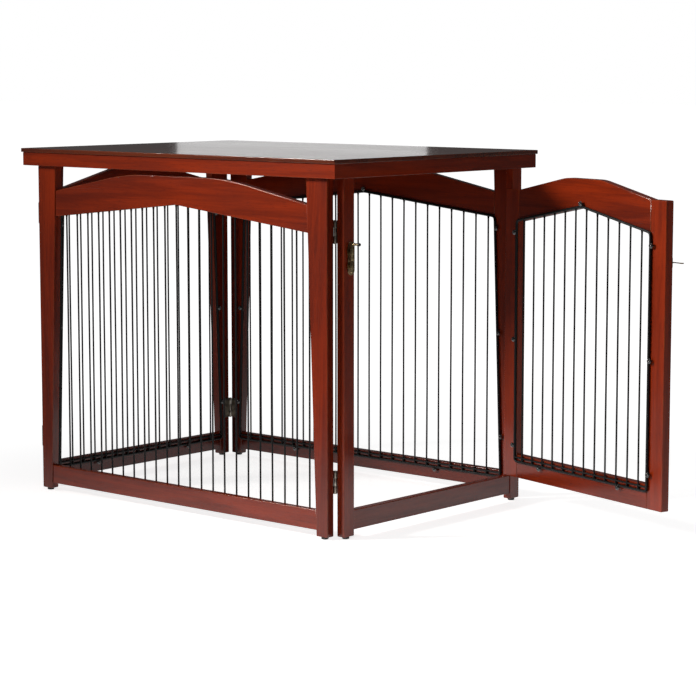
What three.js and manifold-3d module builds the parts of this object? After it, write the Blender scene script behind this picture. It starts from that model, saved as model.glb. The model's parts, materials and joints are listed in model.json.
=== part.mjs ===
// A furniture dog crate: three framed wire panels and a door end, hinged at three corners, with a swinging
// door, a drop-bolt latch and a lift-off table top. Millimetres, +Z up. The front long side faces -Y and the
// door end faces +X. The door stands open, as the crate is left for the dog to walk in and out.
import * as THREE from "three";
import { mergeVertices } from "three/addons/utils/BufferGeometryUtils.js";
import Module from "manifold-3d";

const wasm = await Module();
wasm.setup();

// ---- Driving dimensions ----------------------------------------------------------------------------------
const SIDE_LENGTH = 905; // front and back panels, over their posts
const END_LENGTH = 615; // end panels, over their posts
const BOARD = 20; // thickness of posts and door stiles
const CORNER_GAP = 5; // open joint between two panels, each way
const UNDERSIDE = 768; // height of the table top's apron above the floor
const TOUCH = 0.3; // gap kept between pieces that touch

const GLIDE_HEIGHT = 5;
const GLIDE_RADIUS = 8;
const GLIDE_SIDES = 12;

const POST_TOP_WIDTH = 60; // side posts taper towards the floor
const POST_FOOT_WIDTH = 32;
const JAMB_WIDTH = 33; // straight posts beside the door

const RAIL_SETBACK = 2; // rails lie this far behind the posts' outer face
const RAIL_FLOOR_CLEARANCE = 18;
const BOTTOM_RAIL_HEIGHT = 43;
const CROWN_DROP = 11; // an arched rail's upper edge, at its middle, below the table top's underside
const SHOULDER_DROP = 57; // its upper edge where it meets the posts
const PEAK_DROP = 74; // its lower edge at the middle
const SPRING_DROP = 117; // its lower edge where it meets the posts
// The crown's flat middle as a share of the rail, and how far each of its soft corners runs.
const SIDE_CROWN = { share: 0.4, reach: 60 };
const END_CROWN = { share: 0.26, reach: 14 };
const CROWN_STEPS = 4;

const DOOR_GAP = 3; // running gap round the door
const DOOR_SILL_GAP = 5;
const DOOR_TOP_DROP = 45; // top of the door's stiles below the table top's underside
const DOOR_STILE_WIDTH = 48;
const DOOR_BOTTOM_RAIL_HEIGHT = 53;
const DOOR_OPEN_DEGREES = 75;

const FRAME_WIRE_RADIUS = 3;
const WIRE_RADIUS = 2;
const WIRE_SIDES = 6;
const WIRE_PITCH = 36.3;
const WIRE_SIDE_MARGIN = 10; // least room between the last upright wire and the frame wire
const WIRE_OVERLAP = 3; // how far the frame wire's middle lies on the wood
const LOWER_WIRE_DROP = 14.5; // lower cross wire below the bottom rail's upper edge
const UPPER_WIRE_DROP = 5;

const HINGE_HEIGHT = 50;
const LOWER_HINGE_HEIGHT = 123;
const UPPER_HINGE_DROP = 113;
const KNUCKLE_CLEARANCE = 0.5; // corner knuckles in the diagonal gap between two posts
const KNUCKLE_SIDES = 10;
const KNUCKLE_GAP = 0.4;
const PIN_RADIUS = 1.4;
const PIN_CLEARANCE = 0.2;
const PIN_SIDES = 8;
const LEAF_THICKNESS = 1.5;
const LEAF_WIDTH = 22;
const EDGE_LEAF_WIDTH = 25; // the left corner's leaf on the end panel's edge, a little wider than the edge
const DOOR_LOWER_HINGE_HEIGHT = 150;
const DOOR_UPPER_HINGE_DROP = 128;
const DOOR_KNUCKLE_RADIUS = 3;
const DOOR_LEAF_CLEARANCE = 0.2; // each way from the middle of the gap
const DOOR_LEAF_WIDTH = 17;

const LATCH_DROP = 168.5; // middle of the latch plate below the table top's underside
const LATCH_PLATE_WIDTH = 21;
const LATCH_PLATE_HEIGHT = 71;
const LATCH_PLATE_THICKNESS = 1.6;
const LATCH_PLATE_EDGE = 1; // plate's distance from the jamb's edge
const GUIDE_HEIGHT = 13;
const GUIDE_WALL = 1.6;
const GUIDE_SPREAD = 29; // between the two guides' middles
const GUIDE_FOOT_WIDTH = 17;
const GUIDE_FOOT_THICKNESS = 1.2;
const BOLT_RADIUS = 2.4;
const BOLT_INSET = 5.5; // bolt's distance from the plate's far edge
const BOLT_CLEARANCE = 0.4;
const BOLT_THROW = 7; // how far the raised bolt drops
const BOLT_TIP_CLEARANCE = 1; // raised tip above the keeper's eye
const HANDLE_LENGTH = 17;
const HANDLE_RADIUS = 2;
const HANDLE_DROP = 3; // handle below the bolt's top
const KNOB_RADIUS = 3.6;
const KNOB_LENGTH = 7;
const ROUND_SIDES = 12;
const KEEPER_HEIGHT = 22;
const KEEPER_WIDTH = 9;
const KEEPER_THICKNESS = 1.5;
const KEEPER_EDGE = 2; // keeper's distance from the door's edge
const EYE_THICKNESS = 2;
const EYE_WALL = 1.7;
const EYE_CLEARANCE = 0.6; // eye round the bolt, and eye above the lower guide

const SLAB_THICKNESS = 9;
const SLAB_EDGE = 4; // slab beyond the apron
const APRON_HEIGHT = 31;
const APRON_THICKNESS = 18;
const APRON_OVERHANG_X = 35; // apron beyond the side panels' ends
const APRON_OVERHANG_Y = 15; // apron beyond the side panels' outer face
const BATTEN_MARGIN = 4; // batten beyond the posts that it rests on
const PEG_RADIUS = 4;
const PEG_CLEARANCE = 0.5;
const PEG_DEPTH = 20; // in the post, and half of that in the batten
const PEG_INSET = 24; // peg's distance from the panel's end

// ---- Colours ---------------------------------------------------------------------------------------------
const cherry = { color: 0x7a2a12, roughness: 0.32, metalness: 0 };
const cherryTop = { color: 0x83351a, roughness: 0.25, metalness: 0 };
const blackWire = { color: 0x0c0c0d, roughness: 0.4, metalness: 0.3 };
const steel = { color: 0x8a8478, roughness: 0.35, metalness: 1 };
const antiqueBrass = { color: 0x7d6a45, roughness: 0.38, metalness: 1 };
const darkPlastic = { color: 0x1b1716, roughness: 0.6, metalness: 0 };

const LEVELS = ["lower", "upper"]; // hinges of a pair, from the floor up

// ---- Worked-out sizes ------------------------------------------------------------------------------------
const postFoot = GLIDE_HEIGHT + TOUCH;
const postTop = UNDERSIDE - TOUCH;
const bottomRailTop = RAIL_FLOOR_CLEARANCE + BOTTOM_RAIL_HEIGHT;
const archCrown = UNDERSIDE - CROWN_DROP;
const archShoulder = UNDERSIDE - SHOULDER_DROP;
const archPeak = UNDERSIDE - PEAK_DROP;
const archSpring = UNDERSIDE - SPRING_DROP;
const doorTop = UNDERSIDE - DOOR_TOP_DROP;
const latchHeight = UNDERSIDE - LATCH_DROP;
const hingeCentres = [LOWER_HINGE_HEIGHT, UNDERSIDE - UPPER_HINGE_DROP];
const doorHingeCentres = [DOOR_LOWER_HINGE_HEIGHT, UNDERSIDE - DOOR_UPPER_HINGE_DROP];
const cornerKnuckle = CORNER_GAP * Math.SQRT1_2 - KNUCKLE_CLEARANCE;
const depth = END_LENGTH + 2 * (BOARD + CORNER_GAP);
const sideEndX = SIDE_LENGTH / 2;
const endOuterX = sideEndX + CORNER_GAP + BOARD;
const sideOuterY = depth / 2;
const wireDepth = BOARD + TOUCH + FRAME_WIRE_RADIUS;

// ---- Solids ----------------------------------------------------------------------------------------------
function solid(geometry) {
  const bare = geometry.index ? geometry.toNonIndexed() : geometry.clone();
  bare.deleteAttribute("normal");
  bare.deleteAttribute("uv");
  const merged = mergeVertices(bare, 1e-4);
  return new wasm.Manifold(
    new wasm.Mesh({
      numProp: 3,
      vertProperties: merged.attributes.position.array,
      triVerts: new Uint32Array(merged.index.array),
    }),
  );
}

function geometryOf(manifold) {
  const mesh = manifold.getMesh();
  const geometry = new THREE.BufferGeometry();
  geometry.setAttribute("position", new THREE.BufferAttribute(mesh.vertProperties, mesh.numProp));
  geometry.setIndex(new THREE.BufferAttribute(mesh.triVerts, 1));
  geometry.computeVertexNormals();
  return geometry;
}

function joined(geometries) {
  return geometryOf(geometries.map(solid).reduce((sum, next) => sum.add(next)));
}

function cut(geometry, cutters) {
  return geometryOf(cutters.map(solid).reduce((rest, cutter) => rest.subtract(cutter), solid(geometry)));
}

// A flat board: its outline is drawn in length and height, and it is `thick` deep from depth `from` inwards.
function board(outline, thick, from = 0) {
  const shape = new THREE.Shape(outline.map(([along, up]) => new THREE.Vector2(along, up)));
  const geometry = new THREE.ExtrudeGeometry(shape, { depth: thick, bevelEnabled: false });
  return geometry.rotateX(Math.PI / 2).translate(0, from + thick, 0);
}

function block(low, high) {
  const size = high.map((value, i) => value - low[i]);
  const middle = high.map((value, i) => (value + low[i]) / 2);
  return new THREE.BoxGeometry(...size).translate(...middle);
}

// A round bar between two points.
function bar(from, to, radius, sides) {
  const start = new THREE.Vector3(...from);
  const way = new THREE.Vector3(...to).sub(start);
  const geometry = new THREE.CylinderGeometry(radius, radius, way.length(), sides);
  const turn = new THREE.Quaternion().setFromUnitVectors(new THREE.Vector3(0, 1, 0), way.clone().normalize());
  return geometry.applyQuaternion(turn).translate(...start.addScaledVector(way, 0.5).toArray());
}

// A turned piece whose axis points along depth, from a closed profile of [radius, depth] pairs.
function turned(profile, sides) {
  const points = profile.map(([radius, deep]) => new THREE.Vector2(radius, deep));
  return new THREE.LatheGeometry(points, sides);
}

function piece(group, name, geometry, finish) {
  const mesh = new THREE.Mesh(geometry, new THREE.MeshStandardMaterial(finish));
  mesh.name = name;
  group.add(mesh);
  return mesh;
}

// Points of a soft corner at `corner`, on a curve that starts and ends `reach` away from it.
function softCorner(before, corner, after, reach) {
  const [a, b, c] = [before, corner, after].map((point) => new THREE.Vector2(...point));
  const start = b.clone().addScaledVector(a.clone().sub(b).normalize(), reach);
  const end = b.clone().addScaledVector(c.clone().sub(b).normalize(), reach);
  return new THREE.QuadraticBezierCurve(start, b, end).getPoints(CROWN_STEPS).map((point) => point.toArray());
}

// ---- Panel frames: outer face at depth 0, inner face at depth BOARD, length from 0 ---------------------
// Width of a tapered post at a height.
function postWidth(height) {
  const share = (height - postFoot) / (postTop - postFoot);
  return POST_FOOT_WIDTH + (POST_TOP_WIDTH - POST_FOOT_WIDTH) * share;
}

function jambWidth() {
  return JAMB_WIDTH;
}

function postOutline(length, widthAt, atStart) {
  const inner = (height) => (atStart ? widthAt(height) : length - widthAt(height));
  const outer = atStart ? 0 : length;
  const outline = [
    [outer, postFoot],
    [inner(postFoot), postFoot],
    [inner(postTop), postTop],
    [outer, postTop],
  ];
  return atStart ? outline : outline.reverse();
}

function straightRail(length, widthAt, low, high) {
  const reach = (height) => widthAt(height) + TOUCH;
  const outline = [
    [reach(low), low],
    [length - reach(low), low],
    [length - reach(high), high],
    [reach(high), high],
  ];
  return board(outline, BOARD - RAIL_SETBACK, RAIL_SETBACK);
}

// A rail whose underside rises to a peak and whose upper edge rises to a flat crown with soft corners.
function archedRail(length, widthAt, crown, shoulder, thick, from) {
  const reach = (height) => widthAt(height) + TOUCH;
  const middle = length / 2;
  const halfCrown = ((length - 2 * reach(shoulder)) * crown.share) / 2;
  const soft = Math.min(crown.reach, halfCrown * 0.9);
  const rightShoulder = [length - reach(shoulder), shoulder];
  const rightCrown = [middle + halfCrown, archCrown];
  const leftCrown = [middle - halfCrown, archCrown];
  const leftShoulder = [reach(shoulder), shoulder];
  const outline = [
    [reach(archSpring), archSpring],
    [middle, archPeak],
    [length - reach(archSpring), archSpring],
    rightShoulder,
    ...softCorner(rightShoulder, rightCrown, leftCrown, soft),
    ...softCorner(rightCrown, leftCrown, leftShoulder, soft),
    leftShoulder,
  ];
  return board(outline, thick, from);
}

// A wire grille that lies on the inner face: a frame wire round the opening, two cross wires along the
// bottom and upright wires at an even pitch about the middle.
function grille(length, widthAt, sillTop) {
  const low = sillTop - LOWER_WIRE_DROP;
  const cross = sillTop - UPPER_WIRE_DROP;
  const spring = archSpring + WIRE_OVERLAP;
  const peak = archPeak + WIRE_OVERLAP;
  const middle = length / 2;
  const side = (height) => widthAt(height) - WIRE_OVERLAP;
  const ring = [
    [side(low), low],
    [length - side(low), low],
    [length - side(spring), spring],
    [middle, peak],
    [side(spring), spring],
  ];
  const at = ([along, up]) => [along, wireDepth, up];
  const rods = ring.map((from, i) => {
    const to = ring[(i + 1) % ring.length];
    const stretch = FRAME_WIRE_RADIUS / 2 / Math.hypot(to[0] - from[0], to[1] - from[1]);
    const beyond = [0, 1].map((k) => to[k] + (to[k] - from[k]) * stretch);
    const before = [0, 1].map((k) => from[k] - (to[k] - from[k]) * stretch);
    return bar(at(before), at(beyond), FRAME_WIRE_RADIUS, WIRE_SIDES);
  });
  rods.push(bar(at([side(cross), cross]), at([length - side(cross), cross]), WIRE_RADIUS, WIRE_SIDES));
  const room = middle - side(low) - FRAME_WIRE_RADIUS - WIRE_SIDE_MARGIN;
  const count = 2 * Math.floor(room / WIRE_PITCH + 0.5);
  for (let i = 0; i < count; i += 1) {
    const along = middle + (i - (count - 1) / 2) * WIRE_PITCH;
    const share = Math.abs(along - middle) / (middle - side(spring));
    const top = peak - (peak - spring) * share;
    rods.push(bar(at([along, low]), at([along, top]), WIRE_RADIUS, WIRE_SIDES));
  }
  return joined(rods);
}

function glide(along) {
  return bar([along, BOARD / 2, 0], [along, BOARD / 2, GLIDE_HEIGHT], GLIDE_RADIUS, GLIDE_SIDES);
}

// ---- Hinges: the pin stands at the origin, and a leaf lies along +X between the depths low and high ----
// The holding leaf has the first and last knuckle, with the pin staked in them. The turning leaf has the
// middle knuckle, which runs on the pin.
function leafGeometry(centre, width, knuckle, low, high, holdsPin) {
  const half = HINGE_HEIGHT / 2;
  const third = HINGE_HEIGHT / 3;
  const clear = knuckle + KNUCKLE_GAP;
  const parts = [block([clear, low, centre - half], [width, high, centre + half])];
  for (const k of holdsPin ? [-1, 1] : [0]) {
    const from = centre + (k - 0.5) * third + KNUCKLE_GAP / 2;
    const to = centre + (k + 0.5) * third - KNUCKLE_GAP / 2;
    parts.push(bar([0, 0, from], [0, 0, to], knuckle, KNUCKLE_SIDES));
    parts.push(block([0, low, from], [clear + 1, high, to]));
  }
  if (holdsPin) {
    parts.push(bar([0, 0, centre - half], [0, 0, centre + half], PIN_RADIUS, PIN_SIDES));
    return joined(parts);
  }
  const reach = [centre - half, centre + half];
  return cut(joined(parts), [bar([0, 0, reach[0]], [0, 0, reach[1]], PIN_RADIUS + PIN_CLEARANCE, PIN_SIDES)]);
}

// A leaf that points along `heading` from the pin and lies to one side of it: +1 is to the left of its way.
function leaf(group, name, pin, centre, heading, side, { width, thick, offset, knuckle, holdsPin }) {
  const low = side > 0 ? offset - thick : -offset;
  const mesh = piece(group, name, leafGeometry(centre, width, knuckle, low, low + thick, holdsPin), steel);
  mesh.rotation.z = heading;
  mesh.position.set(pin[0], pin[1], 0);
}

// ---- The object ------------------------------------------------------------------------------------------
const crate = new THREE.Group();

function wirePanel(prefix, length, crown, [startSide, endSide]) {
  const group = new THREE.Group();
  piece(group, `${prefix}_${startSide}_post`, board(postOutline(length, postWidth, true), BOARD), cherry);
  piece(group, `${prefix}_${endSide}_post`, board(postOutline(length, postWidth, false), BOARD), cherry);
  const sill = straightRail(length, postWidth, RAIL_FLOOR_CLEARANCE, bottomRailTop);
  piece(group, `${prefix}_bottom_rail`, sill, cherry);
  const thick = BOARD - RAIL_SETBACK;
  const arch = archedRail(length, postWidth, crown, archShoulder, thick, RAIL_SETBACK);
  piece(group, `${prefix}_arched_rail`, arch, cherry);
  piece(group, `${prefix}_wire_grille`, grille(length, postWidth, bottomRailTop), blackWire);
  piece(group, `${prefix}_${startSide}_glide`, glide(POST_FOOT_WIDTH / 2), darkPlastic);
  piece(group, `${prefix}_${endSide}_glide`, glide(length - POST_FOOT_WIDTH / 2), darkPlastic);
  crate.add(group);
  return group;
}

// Front panel, which stays where it is when the others fold.
const front = wirePanel("front", SIDE_LENGTH, SIDE_CROWN, ["left", "right"]);
front.position.set(-sideEndX, -sideOuterY, 0);

// Two pegs stand in the front posts and locate the table top.
const pegs = { left: PEG_INSET, right: SIDE_LENGTH - PEG_INSET };
for (const [side, along] of Object.entries(pegs)) {
  const upright = (foot, head, radius) =>
    bar([along, BOARD / 2, foot], [along, BOARD / 2, head], radius, ROUND_SIDES);
  const post = front.getObjectByName(`front_${side}_post`);
  const hole = upright(postTop - PEG_DEPTH - TOUCH, postTop + 1, PEG_RADIUS + TOUCH);
  post.geometry = cut(post.geometry, [hole]);
  const peg = upright(postTop - PEG_DEPTH, postTop + PEG_DEPTH / 2, PEG_RADIUS);
  piece(front, `top_locating_peg_${side}`, peg, cherry);
}

// Back panel.
const back = wirePanel("back", SIDE_LENGTH, SIDE_CROWN, ["right", "left"]);
back.rotation.z = Math.PI;
back.position.set(sideEndX, sideOuterY, 0);

// Left end panel.
const leftEnd = wirePanel("left_end", END_LENGTH, END_CROWN, ["back", "front"]);
leftEnd.rotation.z = -Math.PI / 2;
leftEnd.position.set(-endOuterX, END_LENGTH / 2, 0);

// Door end frame: two straight jambs and a sill, with nothing across its top.
const doorEnd = new THREE.Group();
doorEnd.rotation.z = Math.PI / 2;
doorEnd.position.set(endOuterX, -END_LENGTH / 2, 0);
crate.add(doorEnd);
piece(doorEnd, "door_end_latch_jamb", board(postOutline(END_LENGTH, jambWidth, true), BOARD), cherry);
piece(doorEnd, "door_end_hinge_jamb", board(postOutline(END_LENGTH, jambWidth, false), BOARD), cherry);
const doorSill = straightRail(END_LENGTH, jambWidth, RAIL_FLOOR_CLEARANCE, bottomRailTop);
piece(doorEnd, "door_end_bottom_rail", doorSill, cherry);
piece(doorEnd, "door_end_front_glide", glide(JAMB_WIDTH / 2), darkPlastic);
piece(doorEnd, "door_end_back_glide", glide(END_LENGTH - JAMB_WIDTH / 2), darkPlastic);

// Door: the same grille in a narrower frame. Its own length runs from the latch side to the hinge side.
const doorWidth = END_LENGTH - 2 * (JAMB_WIDTH + DOOR_GAP);
const doorFoot = bottomRailTop + DOOR_SILL_GAP;
const doorSillTop = doorFoot + DOOR_BOTTOM_RAIL_HEIGHT;
const doorHingeAlong = doorWidth + DOOR_GAP / 2; // pin, measured along the door
const doorHingeOut = DOOR_KNUCKLE_RADIUS + TOUCH; // pin, in front of the door's outer face
const doorPivot = new THREE.Group();
doorPivot.position.set(JAMB_WIDTH + DOOR_GAP + doorHingeAlong, -doorHingeOut, 0);
doorPivot.rotation.z = THREE.MathUtils.degToRad(DOOR_OPEN_DEGREES);
doorEnd.add(doorPivot);
const door = new THREE.Group();
door.position.set(-doorHingeAlong, doorHingeOut, 0);
doorPivot.add(door);

const stileWidth = () => DOOR_STILE_WIDTH;
const stile = (from) => block([from, 0, doorFoot], [from + DOOR_STILE_WIDTH, BOARD, doorTop]);
piece(door, "door_latch_stile", stile(0), cherry);
piece(door, "door_hinge_stile", stile(doorWidth - DOOR_STILE_WIDTH), cherry);
const doorSillLow = [DOOR_STILE_WIDTH + TOUCH, 0, doorFoot];
const doorSillHigh = [doorWidth - DOOR_STILE_WIDTH - TOUCH, BOARD, doorSillTop];
piece(door, "door_bottom_rail", block(doorSillLow, doorSillHigh), cherry);
const doorArch = archedRail(doorWidth, stileWidth, END_CROWN, doorTop, BOARD, 0);
piece(door, "door_arched_rail", doorArch, cherry);
piece(door, "door_wire_grille", grille(doorWidth, stileWidth, doorSillTop), blackWire);

// Door hinges: butt hinges between the jamb and the stile, with their knuckles outside.
const jambHinge = new THREE.Group();
jambHinge.position.copy(doorPivot.position);
doorEnd.add(jambHinge);
const doorLeafOffset = DOOR_GAP / 2 - TOUCH;
const doorLeaf = {
  width: DOOR_LEAF_WIDTH,
  thick: doorLeafOffset - DOOR_LEAF_CLEARANCE,
  offset: doorLeafOffset,
  knuckle: DOOR_KNUCKLE_RADIUS,
};
for (const [level, centre] of doorHingeCentres.entries()) {
  const name = `door_${LEVELS[level]}_hinge`;
  const inward = Math.PI / 2;
  leaf(doorPivot, `${name}_door_leaf`, [0, 0], centre, inward, 1, { ...doorLeaf, holdsPin: false });
  leaf(jambHinge, `${name}_jamb_leaf`, [0, 0], centre, inward, -1, { ...doorLeaf, holdsPin: true });
}

// Latch on the latch jamb: a plate with two guides, and a bolt that drops through the keeper's eye.
// Depths in front of the jamb are negative.
const plateFront = -TOUCH - LATCH_PLATE_THICKNESS;
const eyeHole = BOLT_RADIUS + EYE_CLEARANCE;
const boltDepth = plateFront - TOUCH - EYE_WALL - eyeHole;
const plateMiddle = JAMB_WIDTH - LATCH_PLATE_EDGE - LATCH_PLATE_WIDTH / 2;
const boltAlong = plateMiddle - LATCH_PLATE_WIDTH / 2 + BOLT_INSET;
const guideBore = BOLT_RADIUS + BOLT_CLEARANCE;
const guideOffsets = [-GUIDE_SPREAD / 2, GUIDE_SPREAD / 2];
const eyeLow = latchHeight - GUIDE_SPREAD / 2 + GUIDE_HEIGHT / 2 + EYE_CLEARANCE;
const eyeHigh = eyeLow + EYE_THICKNESS;

function guide(middle) {
  const [low, high] = [middle - GUIDE_HEIGHT / 2, middle + GUIDE_HEIGHT / 2];
  const outer = guideBore + GUIDE_WALL;
  const foot = GUIDE_FOOT_WIDTH / 2;
  const footFront = plateFront - GUIDE_FOOT_THICKNESS;
  return [
    bar([boltAlong, boltDepth, low], [boltAlong, boltDepth, high], outer, ROUND_SIDES),
    block([boltAlong - outer * 0.9, boltDepth, low], [boltAlong + outer * 0.9, plateFront + TOUCH, high]),
    block([boltAlong - foot, footFront, low], [boltAlong + foot, plateFront + TOUCH, high]),
  ];
}

const plateRound = LATCH_PLATE_WIDTH / 2;
const plateHalf = LATCH_PLATE_HEIGHT / 2 - plateRound;
const plateEnd = (z) =>
  bar([plateMiddle, -TOUCH, z], [plateMiddle, plateFront, z], plateRound, 2 * ROUND_SIDES);
const [plateLow, plateHigh] = [latchHeight - plateHalf, latchHeight + plateHalf];
const latchBody = joined([
  block([plateMiddle - plateRound, plateFront, plateLow], [plateMiddle + plateRound, -TOUCH, plateHigh]),
  plateEnd(plateLow),
  plateEnd(plateHigh),
  ...guideOffsets.flatMap((offset) => guide(latchHeight + offset)),
]);

// A round stretch along the bolt's axis.
function boltWay(low, high, radius, along = boltAlong) {
  return bar([along, boltDepth, low], [along, boltDepth, high], radius, ROUND_SIDES);
}
const guideHole = boltWay(latchHeight - LATCH_PLATE_HEIGHT, latchHeight + LATCH_PLATE_HEIGHT, guideBore);
piece(doorEnd, "latch_plate", cut(latchBody, [guideHole]), antiqueBrass);

const boltTip = eyeHigh + BOLT_TIP_CLEARANCE;
const upperGuideTop = latchHeight + GUIDE_SPREAD / 2 + GUIDE_HEIGHT / 2;
const handleHeight = upperGuideTop + BOLT_THROW + HANDLE_RADIUS + TOUCH;
const boltTop = handleHeight + HANDLE_DROP;
const handleEnd = boltDepth - HANDLE_LENGTH;
const handleRoot = [boltAlong, boltDepth, handleHeight];
const handle = bar(handleRoot, [boltAlong, handleEnd, handleHeight], HANDLE_RADIUS, ROUND_SIDES);
piece(doorEnd, "latch_bolt", joined([boltWay(boltTip, boltTop, BOLT_RADIUS), handle]), antiqueBrass);
const knobProfile = [
  [0, 0],
  [KNOB_RADIUS * 0.7, 0],
  [KNOB_RADIUS, KNOB_LENGTH * 0.3],
  [KNOB_RADIUS, KNOB_LENGTH * 0.7],
  [KNOB_RADIUS * 0.7, KNOB_LENGTH],
  [0, KNOB_LENGTH],
];
const knob = turned(knobProfile, ROUND_SIDES).rotateX(Math.PI);
piece(doorEnd, "latch_knob", knob.translate(boltAlong, handleEnd - TOUCH, handleHeight), darkPlastic);

// Keeper on the door: a small plate with a flat arm that reaches over the jamb and ends in an eye.
const eyeAlong = boltAlong - JAMB_WIDTH - DOOR_GAP; // measured along the door
const keeperBack = -TOUCH;
const keeperFront = keeperBack - KEEPER_THICKNESS;
const keeperFar = KEEPER_EDGE + KEEPER_WIDTH;
const keeperLow = (eyeLow + eyeHigh) / 2 - KEEPER_HEIGHT / 2;
const keeper = joined([
  block([KEEPER_EDGE, keeperFront, keeperLow], [keeperFar, keeperBack, keeperLow + KEEPER_HEIGHT]),
  block([eyeAlong, boltDepth - EYE_WALL, eyeLow], [keeperFar, boltDepth + EYE_WALL, eyeHigh]),
  block([KEEPER_EDGE, boltDepth, eyeLow], [keeperFar, keeperBack, eyeHigh]),
  boltWay(eyeLow, eyeHigh, eyeHole + EYE_WALL, eyeAlong),
]);
piece(door, "door_keeper", cut(keeper, [boltWay(eyeLow - 1, eyeHigh + 1, eyeHole, eyeAlong)]), antiqueBrass);

// Corner hinges. Their pins stand in the diagonal gap between two panels' inner corners. The holding leaf is
// on the first panel and the turning leaf on the second.
const pinX = sideEndX + CORNER_GAP / 2;
const pinY = END_LENGTH / 2 + CORNER_GAP / 2;
const [east, north, west, south] = [0, Math.PI / 2, Math.PI, -Math.PI / 2];
const corners = {
  right: { pin: [pinX, -pinY], holds: [west, 1], turns: [north, -1], panels: ["front", "door_end"] },
  left: { pin: [-pinX, -pinY], holds: [east, -1], turns: [west, -1], panels: ["front", "left_end"] },
  back: { pin: [-pinX, pinY], holds: [south, -1], turns: [east, 1], panels: ["left_end", "back"] },
};
for (const [corner, { pin, holds, turns, panels }] of Object.entries(corners)) {
  const sizes = { thick: LEAF_THICKNESS, offset: CORNER_GAP / 2 - TOUCH, knuckle: cornerKnuckle };
  const holding = { ...sizes, width: LEAF_WIDTH, holdsPin: true };
  const turning = { ...sizes, width: corner === "left" ? EDGE_LEAF_WIDTH : LEAF_WIDTH, holdsPin: false };
  for (const [level, centre] of hingeCentres.entries()) {
    const hinge = `${corner}_corner_${LEVELS[level]}_hinge`;
    leaf(crate, `${hinge}_${panels[0]}_leaf`, pin, centre, ...holds, holding);
    leaf(crate, `${hinge}_${panels[1]}_leaf`, pin, centre, ...turns, turning);
  }
}

// Table top: a thin slab on a mitred apron, with a batten over each pair of posts.
const top = new THREE.Group();
crate.add(top);
const apronX = sideEndX + APRON_OVERHANG_X;
const apronY = sideOuterY + APRON_OVERHANG_Y;
const slabFoot = UNDERSIDE + APRON_HEIGHT;
const slabLow = [-apronX - SLAB_EDGE, -apronY - SLAB_EDGE, slabFoot];
const slabHigh = [apronX + SLAB_EDGE, apronY + SLAB_EDGE, slabFoot + SLAB_THICKNESS];
piece(top, "table_slab", block(slabLow, slabHigh), cherryTop);

// One mitred apron rail, drawn along +X and centred, then turned to its side of the top.
function apronRail(halfLength) {
  const mitre = TOUCH;
  const shape = new THREE.Shape([
    new THREE.Vector2(-halfLength + mitre, 0),
    new THREE.Vector2(halfLength - mitre, 0),
    new THREE.Vector2(halfLength - APRON_THICKNESS - mitre, APRON_THICKNESS),
    new THREE.Vector2(-halfLength + APRON_THICKNESS + mitre, APRON_THICKNESS),
  ]);
  const rail = new THREE.ExtrudeGeometry(shape, { depth: APRON_HEIGHT - TOUCH, bevelEnabled: false });
  return rail.translate(0, 0, UNDERSIDE);
}
const apronSides = [
  { name: "apron_front", half: apronX, out: apronY, turn: 0 },
  { name: "apron_right", half: apronY, out: apronX, turn: Math.PI / 2 },
  { name: "apron_back", half: apronX, out: apronY, turn: Math.PI },
  { name: "apron_left", half: apronY, out: apronX, turn: -Math.PI / 2 },
];
for (const side of apronSides) {
  const rail = piece(top, side.name, apronRail(side.half).translate(0, -side.out, 0), cherry);
  rail.rotation.z = side.turn;
}

// The battens carry the top on the posts, and the pegs enter them from below.
const battenInner = sideEndX - POST_TOP_WIDTH - BATTEN_MARGIN;
const battenOuter = apronX - APRON_THICKNESS - TOUCH;
const battenY = apronY - APRON_THICKNESS - TOUCH;
for (const [side, name] of [[-1, "top_batten_left"], [1, "top_batten_right"]]) {
  const reach = [side * battenInner, side * battenOuter].sort((a, b) => a - b);
  const batten = block([reach[0], -battenY, UNDERSIDE], [reach[1], battenY, slabFoot - TOUCH]);
  const x = side * (sideEndX - PEG_INSET);
  const y = -sideOuterY + BOARD / 2;
  const roof = postTop + PEG_DEPTH / 2 + PEG_CLEARANCE;
  const hole = bar([x, y, UNDERSIDE - 1], [x, y, roof], PEG_RADIUS + PEG_CLEARANCE, ROUND_SIDES);
  piece(top, name, cut(batten, [hole]), cherry);
}

// The part's origin is the middle of its footprint, on the floor.
const extent = new THREE.Box3().setFromObject(crate);
const footprint = extent.getCenter(new THREE.Vector3());
crate.position.set(-footprint.x, -footprint.y, -extent.min.z);

export default crate;
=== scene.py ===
# A furniture dog crate in cherry-stained hardwood: wire-filled panels hinged at the corners, a door
# left standing open, a drop-bolt latch and a lift-off table top.
import json
import math

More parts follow.
